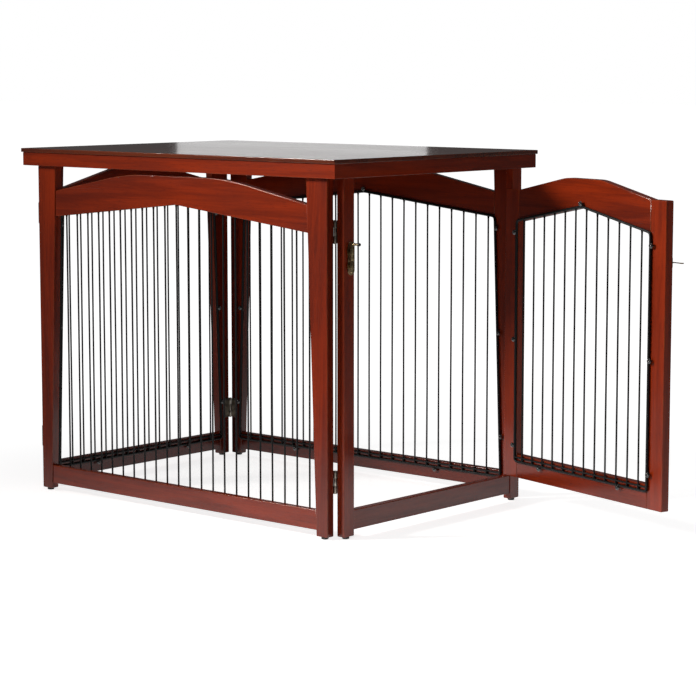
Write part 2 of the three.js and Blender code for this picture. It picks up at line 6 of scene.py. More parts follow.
import bpy
import numpy as np
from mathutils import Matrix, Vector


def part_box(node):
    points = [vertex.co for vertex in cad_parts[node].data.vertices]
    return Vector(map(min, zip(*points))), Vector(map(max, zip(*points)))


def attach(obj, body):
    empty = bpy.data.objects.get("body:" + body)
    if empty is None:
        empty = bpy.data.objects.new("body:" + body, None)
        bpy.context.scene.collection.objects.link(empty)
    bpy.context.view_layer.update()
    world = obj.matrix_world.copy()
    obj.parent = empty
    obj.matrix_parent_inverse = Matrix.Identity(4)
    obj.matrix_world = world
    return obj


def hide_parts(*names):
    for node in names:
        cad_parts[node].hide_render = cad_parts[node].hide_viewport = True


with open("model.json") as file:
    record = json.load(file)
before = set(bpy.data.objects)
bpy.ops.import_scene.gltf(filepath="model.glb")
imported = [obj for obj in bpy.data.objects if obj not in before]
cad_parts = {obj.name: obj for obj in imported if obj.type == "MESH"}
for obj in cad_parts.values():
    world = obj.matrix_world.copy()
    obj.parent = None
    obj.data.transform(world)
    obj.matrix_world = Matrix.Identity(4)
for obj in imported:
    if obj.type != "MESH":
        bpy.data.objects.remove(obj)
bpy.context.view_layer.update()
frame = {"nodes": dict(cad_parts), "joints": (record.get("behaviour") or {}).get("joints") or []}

# ---- Studio --------------------------------------------------------------------------------------
# A white sweep of floor under a wide top light, a beamed key light to the front and left, and a weak
# light to the right. A card behind glows in the table's lacquer. The camera sees the surround as plain
# white, and the crate is lit by it only dimly.
scene = bpy.context.scene
scene.view_settings.view_transform = "Standard"

CAMERA_PLACE = (3.3661, -3.9085, 1.012)
CAMERA_TURN = 41.16
CAMERA_DIP = 7.14
CAMERA_LENS = 118.86
CAMERA_SENSOR = 36
camera = bpy.data.objects.new("camera", bpy.data.cameras.new("camera"))
camera.location = CAMERA_PLACE
camera.rotation_euler = (math.radians(90 - CAMERA_DIP), 0, math.radians(CAMERA_TURN))
camera.data.lens = CAMERA_LENS
camera.data.sensor_width = CAMERA_SENSOR
scene.collection.objects.link(camera)
scene.camera = camera


def softbox(name, place, aim, size, watts, tint=(1, 1, 1), spread=180):
    """A rectangular light at place, turned to shine on the point aim. A small spread makes a narrow
    beam: tilt = atan2(level distance, drop), turn = atan2(y, x) - 90 degrees."""
    lamp = bpy.data.lights.new(name, "AREA")
    lamp.shape = "RECTANGLE"
    lamp.size, lamp.size_y = size
    lamp.energy = watts
    lamp.color = tint
    lamp.spread = math.radians(spread)
    made = bpy.data.objects.new(name, lamp)
    way = np.subtract(aim, place)
    made.location = place
    tilt = math.atan2(math.hypot(way[0], way[1]), -way[2])
    made.rotation_euler = (tilt, 0, math.atan2(way[1], way[0]) - math.pi / 2)
    made.visible_camera = False
    scene.collection.objects.link(made)


softbox("key_light", (-2.2, -2.9, 2.2), (1.5, -0.3, 0.5), (0.8, 0.8), 25, (1.0, 0.97, 0.93), 58)
softbox("right_light", (3.6, 0.9, 1.5), (0.2, 0, 0.4), (1.2, 1.6), 3)
softbox("top_light", (0.2, 0.2, 4.2), (0.1, 0, 0.2), (3.5, 3.5), 30)
softbox("glow_card", (-1.91, 1.89, 1.0), (0, -0.2, 0.8), (0.85, 0.34), 0.6)

SKY_SEEN = 1.0
SKY_FELT = 0.06
world = bpy.data.worlds.new("white_surround")
scene.world = world
world.use_nodes = True
sky = world.node_tree
sky.nodes.clear()


def white_background(strength):
    """A plain white Background shader of the surround."""
    node = sky.nodes.new("ShaderNodeBackground")
    node.inputs["Color"].default_value = (1, 1, 1, 1)
    node.inputs["Strength"].default_value = strength
    return node


felt, seen = white_background(SKY_FELT), white_background(SKY_SEEN)
ray = sky.nodes.new("ShaderNodeLightPath")
choice = sky.nodes.new("ShaderNodeMixShader")
shown = sky.nodes.new("ShaderNodeOutputWorld")
sky.links.new(ray.outputs["Is Camera Ray"], choice.inputs["Fac"])
sky.links.new(felt.outputs[0], choice.inputs[1])
sky.links.new(seen.outputs[0], choice.inputs[2])
sky.links.new(choice.outputs[0], shown.inputs["Surface"])

FLOOR_REACH = 40
FLOOR_DROP = 0.0004


def mesh_piece(name, points, faces, material, smooth_angle=35):
    """Makes an object at the origin from an array of points and a list of faces. It is shaded smooth
    where faces meet at less than an angle in degrees."""
    mesh = bpy.data.meshes.new(name)
    mesh.from_pydata(np.asarray(points).tolist(), [], faces)
    mesh.shade_smooth()
    mesh.set_sharp_from_angle(angle=math.radians(smooth_angle))
    mesh.materials.append(material)
    made = bpy.data.objects.new(name, mesh)
    scene.collection.objects.link(made)
    return made


def finish_material(name):
    """A new material with one Principled shader. Returns the material, its tree and the shader."""
    material = bpy.data.materials.new(name)
    material.use_nodes = True
    tree = material.node_tree
    return material, tree, tree.nodes["Principled BSDF"]


paper, paper_tree, paper_shader = finish_material("white_paper")
paper_shader.inputs["Base Color"].default_value = (0.88, 0.88, 0.88, 1)
paper_shader.inputs["Roughness"].default_value = 0.9
floor_place = paper_tree.nodes.new("ShaderNodeTexCoord").outputs["Object"]
floor_range = paper_tree.nodes.new("ShaderNodeVectorMath")
floor_range.operation = "LENGTH"
paper_tree.links.new(floor_place, floor_range.inputs[0])


def backdrop_and_reflection_glow(ray_kind, near, far, near_strength, far_strength):
    """The floor's glow for one kind of ray. It runs in a straight line from its strength at the near
    distance to its strength at the far distance from the crate's middle. For camera rays it is the
    floor's plain white. For glossy rays it is a painted reflection: a glow near the crate that only
    reflections see."""
    spread = paper_tree.nodes.new("ShaderNodeMapRange")
    for i, value in enumerate((near, far, near_strength, far_strength)):
        spread.inputs[i + 1].default_value = value
    paper_tree.links.new(floor_range.outputs["Value"], spread.inputs[0])
    gate = paper_tree.nodes.new("ShaderNodeMath")
    gate.operation = "MULTIPLY"
    paper_tree.links.new(spread.outputs[0], gate.inputs[0])
    rays = paper_tree.nodes.new("ShaderNodeLightPath")
    paper_tree.links.new(rays.outputs[ray_kind], gate.inputs[1])
    return gate.outputs[0]


# The camera sees the floor as plain white. Glossy rays see the floor glow near the crate and fade away
# from it: a painted reflection that puts a pale sheen on the crate's low rails.
backdrop_and_reflection_sum = paper_tree.nodes.new("ShaderNodeMath")
paper_tree.links.new(backdrop_and_reflection_glow("Is Camera Ray", 0.9, 2.2, 0.8, 1.0), backdrop_and_reflection_sum.inputs[0])
paper_tree.links.new(backdrop_and_reflection_glow("Is Glossy Ray", 0.5, 1.4, 0.75, 0.015), backdrop_and_reflection_sum.inputs[1])
paper_shader.inputs["Emission Color"].default_value = (1, 1, 1, 1)
paper_tree.links.new(backdrop_and_reflection_sum.outputs[0], paper_shader.inputs["Emission Strength"])
floor_points = [(x, y, -FLOOR_DROP) for x, y in [(-1, -1), (1, -1), (1, 1), (-1, 1)]]
floor_points = np.array(floor_points) * (FLOOR_REACH, FLOOR_REACH, 1)
mesh_piece("floor", floor_points, [(0, 1, 2, 3)], paper)

# ---- Boards --------------------------------------------------------------------------------------
# Every wooden member is planed hardwood with its long edges eased by sandpaper, stained red-brown and
# lacquered to a gloss. A broken lighter line runs along the eased edges. It is partly thinner stain
# where the edges were rubbed, and partly a painted highlight where light catches them. The grain runs
# along the board.
MM = 0.001
BOARD_EASE = 1.6 * MM
EASE_STEPS = 3
CORNER_STEPS = 5
SHARP_TURN = 0.5
SOFT_TURN = 0.1
SOFT_REACH = 0.4
FACE_DEPTH = 0.1 * MM
CAD_DECIMALS = 5
CLOUD_STRETCH = (2.6, 7, 7)
FIGURE_STRETCH = (2.2, 34, 34)
FIBRE_STRETCH = (10, 420, 420)
PORE_STRETCH = (55, 1150, 1150)
PORE_COLOUR = (0.02, 0.004, 0.002, 1)


def shader_group(name, takes, gives):
    """An empty shader node group with the named sockets. Returns the group, its input node and its
    output node."""
    group = bpy.data.node_groups.new(name, "ShaderNodeTree")
    for socket, kind, value in takes:
        made = group.interface.new_socket(socket, in_out="INPUT", socket_type=f"NodeSocket{kind}")
        if value is not None:
            made.default_value = value
    for socket, kind in gives:
        group.interface.new_socket(socket, in_out="OUTPUT", socket_type=f"NodeSocket{kind}")
    return group, group.nodes.new("NodeGroupInput"), group.nodes.new("NodeGroupOutput")


def scaled(tree, vector, scale):
    """A vector stretched by a scale on each axis."""
    node = tree.nodes.new("ShaderNodeVectorMath")
    node.operation = "MULTIPLY"
    node.inputs[1].default_value = scale
    tree.links.new(vector, node.inputs[0])
    return node.outputs[0]


def noise(tree, vector, scale, detail=3.0, roughness=0.55, distortion=0.0):
    """Fractal noise, 0 to 1, read at a vector."""
    node = tree.nodes.new("ShaderNodeTexNoise")
    node.inputs["Scale"].default_value = scale
    node.inputs["Detail"].default_value = detail
    node.inputs["Roughness"].default_value = roughness
    node.inputs["Distortion"].default_value = distortion
    tree.links.new(vector, node.inputs["Vector"])
    return node.outputs["Fac"]


def ranged(tree, value, low, high, to_low, to_high, smooth=False):
    """A value mapped from low..high to another range, clamped there."""
    node = tree.nodes.new("ShaderNodeMapRange")
    if smooth:
        node.interpolation_type = "SMOOTHSTEP"
    for i, end in enumerate((low, high, to_low, to_high)):
        node.inputs[i + 1].default_value = end
    tree.links.new(value, node.inputs[0])
    return node.outputs[0]


def calc(tree, how, first, second):
    """Two values, or a value and a number, put together by a Math node."""
    node = tree.nodes.new("ShaderNodeMath")
    node.operation = how
    for i, value in enumerate((first, second)):
        if isinstance(value, (int, float)):
            node.inputs[i].default_value = value
        else:
            tree.links.new(value, node.inputs[i])
    return node.outputs[0]


def mixed(tree, factor, first, second):
    """Two colours mixed by a factor. Each colour may be a socket or a plain colour."""
    node = tree.nodes.new("ShaderNodeMix")
    node.data_type = "RGBA"
    tree.links.new(factor, node.inputs[0])
    for socket, colour in ((node.inputs[6], first), (node.inputs[7], second)):
        if isinstance(colour, tuple):
            socket.default_value = colour
        else:
            tree.links.new(colour, socket)
    return node.outputs[2]


# Stained grain: broad clouds of stain, long cathedral figure, fine fibre streaks, short dark pores.
grain, grain_in, grain_out = shader_group(
    "stained_grain",
    [("Grain", "Vector", None), ("Tone", "Float", 0.5), ("Light", "Color", None),
     ("Dark", "Color", None), ("Figure", "Float", 0.5), ("Pores", "Float", 0.4)],
    [("Color", "Color"), ("Roughness", "Float"), ("Height", "Float")])
along = grain_in.outputs["Grain"]
clouds = noise(grain, scaled(grain, along, CLOUD_STRETCH), 1.0, 2.0)
figure = noise(grain, scaled(grain, along, FIGURE_STRETCH), 1.0, 4.0, 0.6, 1.1)
fibre = noise(grain, scaled(grain, along, FIBRE_STRETCH), 1.0, 2.0, 0.6)
pore = noise(grain, scaled(grain, along, PORE_STRETCH), 1.0, 1.0)
figure_line = ranged(grain, figure, 0.36, 0.64, 0, 1, smooth=True)
figure_share = calc(grain, "MULTIPLY", figure_line, grain_in.outputs["Figure"])
stain = calc(grain, "ADD", figure_share, ranged(grain, clouds, 0.3, 0.7, 0, 0.42))
stain = calc(grain, "ADD", stain, ranged(grain, fibre, 0.25, 0.75, -0.12, 0.14))
stain = calc(grain, "ADD", stain, calc(grain, "MULTIPLY", grain_in.outputs["Tone"], 0.3))
body_colour = mixed(grain, stain, grain_in.outputs["Light"], grain_in.outputs["Dark"])
pore_mask = ranged(grain, pore, 0.62, 0.72, 0, 1, smooth=True)
pore_mask = calc(grain, "MULTIPLY", pore_mask, grain_in.outputs["Pores"])
body_colour = mixed(grain, pore_mask, body_colour, PORE_COLOUR)
fibre_gloss = ranged(grain, fibre, 0.2, 0.8, -0.03, 0.03)
gloss = calc(grain, "ADD", ranged(grain, clouds, 0.3, 0.7, 0.17, 0.27), fibre_gloss)
relief = calc(grain, "SUBTRACT", calc(grain, "MULTIPLY", fibre, 0.35), pore_mask)
grain.links.new(body_colour, grain_out.inputs["Color"])
grain.links.new(gloss, grain_out.inputs["Roughness"])
grain.links.new(relief, grain_out.inputs["Height"])

# Edge wear and painted highlight: a broken lighter line along eased edges. It is partly thinner finish
# and partly a painted highlight.
wear_highlight_group, wear_highlight_in, wear_highlight_out = shader_group(
    "edge_rub",
    [("Color", "Color", None), ("Rubbed", "Color", None), ("Edge", "Float", 0.0),
     ("Vector", "Vector", None), ("Amount", "Float", 0.5)],
    [("Color", "Color"), ("Mask", "Float")])
breaks = noise(wear_highlight_group, wear_highlight_in.outputs["Vector"], 26.0, 4.0, 0.65)
wear_highlight_mask = calc(wear_highlight_group, "MULTIPLY", ranged(wear_highlight_group, breaks, 0.42, 0.66, 0.15, 1), wear_highlight_in.outputs["Edge"])
wear_highlight_mask = calc(wear_highlight_group, "MULTIPLY", wear_highlight_mask, wear_highlight_in.outputs["Amount"])
wear_highlight_colour = mixed(wear_highlight_group, wear_highlight_mask, wear_highlight_in.outputs["Color"], wear_highlight_in.outputs["Rubbed"])
wear_highlight_group.links.new(wear_highlight_colour, wear_highlight_out.inputs["Color"])
wear_highlight_group.links.new(wear_highlight_mask, wear_highlight_out.inputs["Mask"])


def placed_group(tree, group):
    """A node group placed in a material's node tree."""
    node = tree.nodes.new("ShaderNodeGroup")
    node.node_tree = group
    return node


def attribute(tree, name, output="Vector"):
    """A mesh attribute read by name."""
    node = tree.nodes.new("ShaderNodeAttribute")
    node.attribute_name = name
    return node.outputs[output]


def bumped(tree, shader, height, strength, distance):
    """Sends a height through a Bump node to a shader's normal."""
    bump = tree.nodes.new("ShaderNodeBump")
    bump.inputs["Strength"].default_value = strength
    bump.inputs["Distance"].default_value = distance
    tree.links.new(height, bump.inputs["Height"])
    tree.links.new(bump.outputs[0], shader.inputs["Normal"])


def stained_wood(name, light, dark, figure, pores, coat, wear_highlight_tint):
    """Lacquered hardwood with its own stain colours, figure and depth of gloss. It also has a lighter
    tint along its eased edges, which is partly wear and partly painted highlight.
    """
    material, tree, shader = finish_material(name)
    board = placed_group(tree, grain)
    tree.links.new(attribute(tree, "grain"), board.inputs["Grain"])
    tree.links.new(attribute(tree, "tone", "Fac"), board.inputs["Tone"])
    board.inputs["Light"].default_value = light
    board.inputs["Dark"].default_value = dark
    board.inputs["Figure"].default_value = figure
    board.inputs["Pores"].default_value = pores
    # A broken lighter line along the eased edges: partly worn finish, partly a painted highlight where
    # light catches the edges.
    wear_highlight_node = placed_group(tree, wear_highlight_group)
    tree.links.new(board.outputs["Color"], wear_highlight_node.inputs["Color"])
    tree.links.new(attribute(tree, "edge", "Fac"), wear_highlight_node.inputs["Edge"])
    tree.links.new(attribute(tree, "grain"), wear_highlight_node.inputs["Vector"])
    wear_highlight_node.inputs["Rubbed"].default_value = wear_highlight_tint
    wear_highlight_node.inputs["Amount"].default_value = 0.55
    tree.links.new(wear_highlight_node.outputs["Color"], shader.inputs["Base Color"])
    tree.links.new(board.outputs["Roughness"], shader.inputs["Roughness"])
    bumped(tree, shader, board.outputs["Height"], 0.25, 0.0004)
    shader.inputs["Coat Weight"].default_value = coat
    shader.inputs["Coat Roughness"].default_value = 0.16
    shader.inputs["Coat IOR"].default_value = 1.5
    shader.inputs["Specular IOR Level"].default_value = 0.3
    return material


# The last colour is the lighter edge tint, partly worn stain and partly painted highlight.
cherry = stained_wood(
    "cherry_lacquer", light=(0.34, 0.031, 0.0045, 1), dark=(0.075, 0.006, 0.002, 1), figure=0.34,
    pores=0.4, coat=0.3, wear_highlight_tint=(0.42, 0.10, 0.02, 1))


def eased_outline(corners, radius):
    """Rounds a closed outline with a quadratic curve across each corner. The curve leaves an edge
    radius times tan(turn / 2) before a sharp corner, and a set share of the shorter edge before a soft
    one. Corners in between are kept."""
    before = np.roll(corners, 1, axis=0) - corners
    after = np.roll(corners, -1, axis=0) - corners
    sizes = np.linalg.norm(before, axis=1), np.linalg.norm(after, axis=1)
    before, after = before / sizes[0][:, None], after / sizes[1][:, None]
    turn = np.pi - np.arccos(np.clip(np.sum(before * after, axis=1), -1, 1))
    length = np.where(turn > SHARP_TURN, radius * np.tan(turn / 2), 0)
    length = np.where(turn < SOFT_TURN, SOFT_REACH * np.minimum(*sizes), length)[:, None]
    start, end = corners + before * length, corners + after * length
    t = np.linspace(0, 1, CORNER_STEPS)[None, :, None]
    curve = (1 - t) ** 2 * start[:, None] + 2 * t * (1 - t) * corners[:, None] + t**2 * end[:, None]
    kept = (length > 0) | (np.arange(CORNER_STEPS) == 0)
    return curve[kept]


def slab_surface(outline, low, high, ease):
    """A flat piece from its outline: rings of the outline, drawn in by ease times (1 - sin) and
    dropped by ease times (1 - cos) of an angle that runs a quarter turn at each face, with a cap at
    both ends. Returns the points (outline x, outline y, depth), the faces and each point's share of
    the rounding."""
    edge = np.roll(outline, -1, axis=0) - outline
    edge = edge / np.linalg.norm(edge, axis=1)[:, None]
    outward = np.stack([edge[:, 1], -edge[:, 0]], axis=1)
    previous = np.roll(outward, 1, axis=0)
    miter = (outward + previous) / (1 + np.sum(outward * previous, axis=1))[:, None]
    angle = np.linspace(0, math.pi / 2, EASE_STEPS + 1)
    inset = ease * (1 - np.sin(angle))
    depth = ease * (1 - np.cos(angle))
    insets = np.concatenate([inset, inset[::-1]])
    depths = np.concatenate([high - depth, low + depth[::-1]])
    flat = outline[None] - miter[None] * insets[:, None, None]
    across = np.broadcast_to(depths[:, None, None], (*flat.shape[:2], 1))
    points = np.concatenate([flat, across], axis=2)
    rings, count = flat.shape[:2]
    i = np.arange(count)
    r = np.arange(rings - 1)[:, None]
    near, far = r * count + i, r * count + (i + 1) % count
    quads = np.stack([near, near + count, far + count, far], axis=2).reshape(-1, 4)
    caps = [i.tolist(), ((rings - 1) * count + i[::-1]).tolist()]
    share = np.sin(2 * angle)
    edges = np.repeat(np.concatenate([share, share[::-1]]), count)
    return points.reshape(-1, 3), quads.tolist() + caps, edges


def add_values(piece, name, values, kind="FLOAT"):
    """Stores an array on the piece's points as a named attribute."""
    layer = piece.data.attributes.new(name, kind, "POINT")
    field = "value" if kind == "FLOAT" else "vector"
    layer.data.foreach_set(field, np.asarray(values, np.float32).ravel())


def cad_points(node):
    """A CAD node's vertices as an array."""
    vertices = frame["nodes"][node].data.vertices
    found = np.empty(len(vertices) * 3, np.float32)
    vertices.foreach_get("co", found)
    return found.reshape(-1, 3).astype(float)


def unit(way):
    """A vector scaled to length one."""
    return np.asarray(way, float) / np.linalg.norm(way)


luck = np.random.default_rng(7)


def board(
    node, body, along, up, grain_up=False, ease=BOARD_EASE, corner=0, material=cherry,
    slot="cherry_wood"
):
    """A wooden member in the place of a CAD node. Its outline is the node's own outer face, drawn in
    the directions along and up, and its thickness runs square to both. The grain runs along, or up."""
    along, up = unit(along), unit(up)
    basis = np.stack([along, up, np.cross(along, up)])
    local = cad_points(node) @ basis.T
    low, high = local[:, 2].min(), local[:, 2].max()
    face = local[local[:, 2] > high - FACE_DEPTH, :2]
    corners = np.unique(np.round(face, CAD_DECIMALS), axis=0)
    middle = (corners.min(axis=0) + corners.max(axis=0)) / 2
    turn = np.arctan2(corners[:, 1] - middle[1], corners[:, 0] - middle[0])
    outline = eased_outline(corners[np.argsort(turn)], corner)
    points, faces, edges = slab_surface(outline, low, high, ease)
    made = mesh_piece(f"{node}_wood", points @ basis, faces, material)
    order = [1, 0, 2] if grain_up else [0, 1, 2]
    add_values(made, "grain", points[:, order] + luck.uniform(0, 9, 3), "FLOAT_VECTOR")
    add_values(made, "tone", np.full(len(points), luck.uniform(-0.5, 0.5)))
    add_values(made, "edge", edges)
    made.modifiers.new("flat faces", "WEIGHTED_NORMAL").keep_sharp = True
    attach(made, body)
    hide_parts(node)


# ---- Panels --------------------------------------------------------------------------------------
# Each panel is a frame of two posts, a straight rail and an arched rail, doweled and glued. The side
# posts taper to the foot. The door is framed the same way and hangs from the hinge jamb. The door end
# has no arched rail.
door_joint = next(j for j in frame["joints"] if j["name"] == "door_swing")
door_open = math.radians(-door_joint["range_deg"][0])
door_along = (-math.sin(door_open), math.cos(door_open), 0)
STILE_CORNER = 3 * MM
PANELS = {
    "front": ((1, 0, 0), ["left_post", "right_post"], ["bottom_rail", "arched_rail"]),
    "back": ((-1, 0, 0), ["left_post", "right_post"], ["bottom_rail", "arched_rail"]),
    "left_end": ((0, -1, 0), ["back_post", "front_post"], ["bottom_rail", "arched_rail"]),
    "door_end": ((0, 1, 0), ["latch_jamb", "hinge_jamb"], ["bottom_rail"]),
    "door": (door_along, ["latch_stile", "hinge_stile"], ["bottom_rail", "arched_rail"]),
}
for panel, (way, uprights, rails) in PANELS.items():
    for member in uprights:
        board(f"{panel}_{member}", panel, way, (0, 0, 1), grain_up=True, corner=STILE_CORNER)
    for member in rails:
        board(f"{panel}_{member}", panel, way, (0, 0, 1))

# ---- Table top -----------------------------------------------------------------------------------
# A thin veneered slab under clear, mirror-like lacquer stands a little proud of a mitred apron of four
# rails. Two battens under it rest on the posts.
SLAB_EASE = 1.2 * MM
SLAB_CORNER = 4 * MM
APRON_EASE = 1.0 * MM
APRON_WAYS = {"front": (1, 0, 0), "right": (0, 1, 0), "back": (-1, 0, 0), "left": (0, -1, 0)}
# The last colour is the lighter edge tint, partly worn stain and partly painted highlight.
table_lacquer = stained_wood(
    "table_lacquer", light=(0.16, 0.025, 0.005, 1), dark=(0.045, 0.005, 0.002, 1), figure=0.45,
    pores=0.5, coat=1.0, wear_highlight_tint=(0.36, 0.10, 0.03, 1))
board("table_slab", "top", (1, 0, 0), (0, 1, 0), ease=SLAB_EASE, corner=SLAB_CORNER,
      material=table_lacquer, slot="table_slab")
for side, way in APRON_WAYS.items():
    board(f"apron_{side}", "top", way, np.cross((0, 0, 1), way), ease=APRON_EASE)
for side in ("left", "right"):
    board(f"top_batten_{side}", "top", (0, 1, 0), (-1, 0, 0))

# ---- Wire grilles --------------------------------------------------------------------------------
# Each grille is one welded mat of black-coated steel wire: a thicker frame wire bent round the
# opening, one cross wire above its lower run, and upright wires welded to the frame wire at both ends.
WIRE_DEPTH = 23.3 * MM
FRAME_WIRE = 3 * MM
ROD = 2 * MM
ROD_PITCH = 36.3 * MM
SIDE_ROOM = 13 * MM
WIRE_LAP = 3 * MM
LOWER_WIRE_DROP = 14.5 * MM
CROSS_WIRE_DROP = 5 * MM
ARCH_SPRING = 651 * MM
ARCH_PEAK = 694 * MM
BEND_REACH = 9 * MM
BEND_STEPS = 4
ROD_SIDES = 8
CROSS_STEPS = 9
ROD_STATIONS = np.array([0, 0.006, 0.02, 0.16, 0.33, 0.5, 0.67, 0.84, 0.985, 0.995, 1])
WELDED = np.array([1, 0.8, 0, 0, 0, 0, 0, 0, 0, 0.8, 1])
WELD_SWELL = 0.35
ROD_BOW = 0.5 * MM
TWICE_BOW = 0.6
DEPTH_BOW = 0.4
POST_FOOT_WIDTH = 32 * MM
POST_TOP_WIDTH = 60 * MM
POST_FOOT = 5.3 * MM
POST_TALL = 762.4 * MM
STILE_WIDTH = 48 * MM
SIDE_LENGTH = 905 * MM
END_LENGTH = 615 * MM
DOOR_LENGTH = 543 * MM
RAIL_TOP = 61 * MM
DOOR_RAIL_TOP = 119 * MM
DOOR_PIN_ALONG = 544.5 * MM
DOOR_PIN_OUT = 3.3 * MM


def clouded_finish(name, cloud_noise, colours, gloss, relief, pebble=None):
    """A coating whose colour and roughness drift together with a cloud of noise, and whose relief of
    (strength, distance) follows the same cloud or a pebble noise of its own. A noise is given as its
    scale, detail and roughness. Returns the material and its shader."""
    material, tree, shader = finish_material(name)
    place = tree.nodes.new("ShaderNodeTexCoord").outputs["Object"]
    cloud = noise(tree, place, *cloud_noise)
    tree.links.new(mixed(tree, cloud, *colours), shader.inputs["Base Color"])
    tree.links.new(ranged(tree, cloud, 0.3, 0.7, *gloss), shader.inputs["Roughness"])
    bumped(tree, shader, noise(tree, place, *pebble) if pebble else cloud, *relief)
    return material, shader


wire_black, wire_shader = clouded_finish(
    "black_coated_wire", (60.0, 3.0), ((0.003, 0.003, 0.0035, 1), (0.011, 0.010, 0.010, 1)),
    gloss=(0.4, 0.55), relief=(0.2, 0.0002), pebble=(900.0, 2.0))
wire_shader.inputs["Specular IOR Level"].default_value = 0.25


def wire(path, radii, closed=False):
    """A round wire along a path: at each point a ring, radius * (side * cos + over * sin), lies square
    to the way ahead. Returns the points and the faces, with both ends capped unless the path is
    closed."""
    path = np.asarray(path, float)
    if closed:
        way = np.roll(path, -1, axis=0) - np.roll(path, 1, axis=0)
    else:
        way = np.gradient(path, axis=0)
    way = way / np.linalg.norm(way, axis=1)[:, None]
    side = np.cross(way, (0, 1, 0) if abs(way[0][1]) < 0.9 else (1, 0, 0))
    side = side / np.linalg.norm(side, axis=1)[:, None]
    over = np.cross(way, side)
    angle = (np.arange(ROD_SIDES) * 2 * math.pi / ROD_SIDES)[None, :, None]
    around = np.cos(angle) * side[:, None] + np.sin(angle) * over[:, None]
    points = path[:, None] + around * np.broadcast_to(radii, len(path))[:, None, None]
    rings = len(path)
    r = np.arange(rings if closed else rings - 1)[:, None]
    i = np.arange(ROD_SIDES)
    here, there = r * ROD_SIDES, (r + 1) % rings * ROD_SIDES
    ahead = (i + 1) % ROD_SIDES
    quads = np.stack([here + i, here + ahead, there + ahead, there + i], axis=2)
    faces = quads.reshape(-1, 4).tolist()
    if not closed:
        faces += [i[::-1].tolist(), ((rings - 1) * ROD_SIDES + i).tolist()]
    return points.reshape(-1, 3), faces


def gathered(parts):
    """Several (points, faces) pairs as one."""
    points, faces, count = [], [], 0
    for part_points, part_faces in parts:
        points.append(part_points)
        faces += [[v + count for v in face] for face in part_faces]
        count += len(part_points)
    return np.concatenate(points), faces


def bent_ring(corners):
    """A closed path whose corners are quadratic bends that start and end a set reach away from each
    corner: (1 - t)^2 start + 2 t (1 - t) corner + t^2 end."""
    before = np.roll(corners, 1, axis=0) - corners
    after = np.roll(corners, -1, axis=0) - corners
    start = corners + before / np.linalg.norm(before, axis=1)[:, None] * BEND_REACH
    end = corners + after / np.linalg.norm(after, axis=1)[:, None] * BEND_REACH
    t = np.linspace(0, 1, BEND_STEPS)[None, :, None]
    curve = (1 - t) ** 2 * start[:, None] + 2 * t * (1 - t) * corners[:, None] + t**2 * end[:, None]
    return curve.reshape(-1, 3)


def side_post_width(height):
    """Width of a tapered side post: it grows in a straight line from the foot to the top."""
    return POST_FOOT_WIDTH + (POST_TOP_WIDTH - POST_FOOT_WIDTH) * (height - POST_FOOT) / POST_TALL


def stile_width(height):
    """Width of the door's stiles, the same at every height."""
    return STILE_WIDTH


def grille(length, width_at, sill_top):
    """A welded mat in panel measures (length, depth, height). The frame wire's middle laps the wood
    round the opening. Upright i stands at middle + (i - (count - 1) / 2) * pitch, and is bowed by
    sin(pi * share) and sin(2 * pi * share) of its height."""
    low, cross = sill_top - LOWER_WIRE_DROP, sill_top - CROSS_WIRE_DROP
    spring, peak = ARCH_SPRING + WIRE_LAP, ARCH_PEAK + WIRE_LAP
    middle = length / 2
    low_side, cross_side, spring_side = (width_at(z) - WIRE_LAP for z in (low, cross, spring))
    ring = np.array([
        (low_side, WIRE_DEPTH, low), (length - low_side, WIRE_DEPTH, low),
        (length - spring_side, WIRE_DEPTH, spring), (middle, WIRE_DEPTH, peak),
        (spring_side, WIRE_DEPTH, spring)])
    parts = [wire(bent_ring(ring), FRAME_WIRE, closed=True)]
    run = np.linspace(cross_side, length - cross_side, CROSS_STEPS)
    level = np.broadcast_to((WIRE_DEPTH, cross), (CROSS_STEPS, 2))
    parts.append(wire(np.column_stack([run, level]), ROD))
    count = 2 * math.floor((middle - low_side - SIDE_ROOM) / ROD_PITCH + 0.5)
    sway, sway_twice = np.sin(math.pi * ROD_STATIONS), np.sin(2 * math.pi * ROD_STATIONS)
    swell = ROD * (1 + WELD_SWELL * WELDED)
    for place in middle + (np.arange(count) - (count - 1) / 2) * ROD_PITCH:
        top = peak - (peak - spring) * abs(place - middle) / (middle - spring_side)
        bow = luck.uniform(-ROD_BOW, ROD_BOW, 2)
        x = place + sway * bow[0] + sway_twice * bow[1] * TWICE_BOW
        y = WIRE_DEPTH + sway * luck.uniform(-ROD_BOW, ROD_BOW) * DEPTH_BOW
        parts.append(wire(np.column_stack([x, y, low + (top - low) * ROD_STATIONS]), swell))
    return gathered(parts)


# Each panel's outer corner at its start, in millimetres, and the way of its length.
PANEL_STARTS = {
    "front": ((-722.885, -332.5), (1, 0)),
    "back": ((182.115, 332.5), (-1, 0)),
    "left_end": ((-747.885, 307.5), (0, -1)),
}
door_pin = np.array(door_joint["pos_m"][:2])
door_side = np.array(door_along[:2])
door_out = np.array([door_side[1], -door_side[0]])
door_origin = door_pin - door_side * DOOR_PIN_ALONG - door_out * DOOR_PIN_OUT


def panel_frame(panel):
    """A panel's outer corner at its start, the way of its length and the way inwards, each as
    (x, y, z)."""
    if panel == "door":
        start, way = door_origin, door_side
    else:
        corner, way = PANEL_STARTS[panel]
        start = np.array(corner) * MM
    return np.array([*start, 0]), np.array([*way, 0]), np.array([-way[1], way[0], 0])


def in_panel(panel, points):
    """Points in panel measures (length, depth, height) carried to their place on the crate."""
    start, way, inward = panel_frame(panel)
    points = np.asarray(points)
    return start + points[..., :1] * way + points[..., 1:2] * inward + points[..., 2:] * (0, 0, 1)


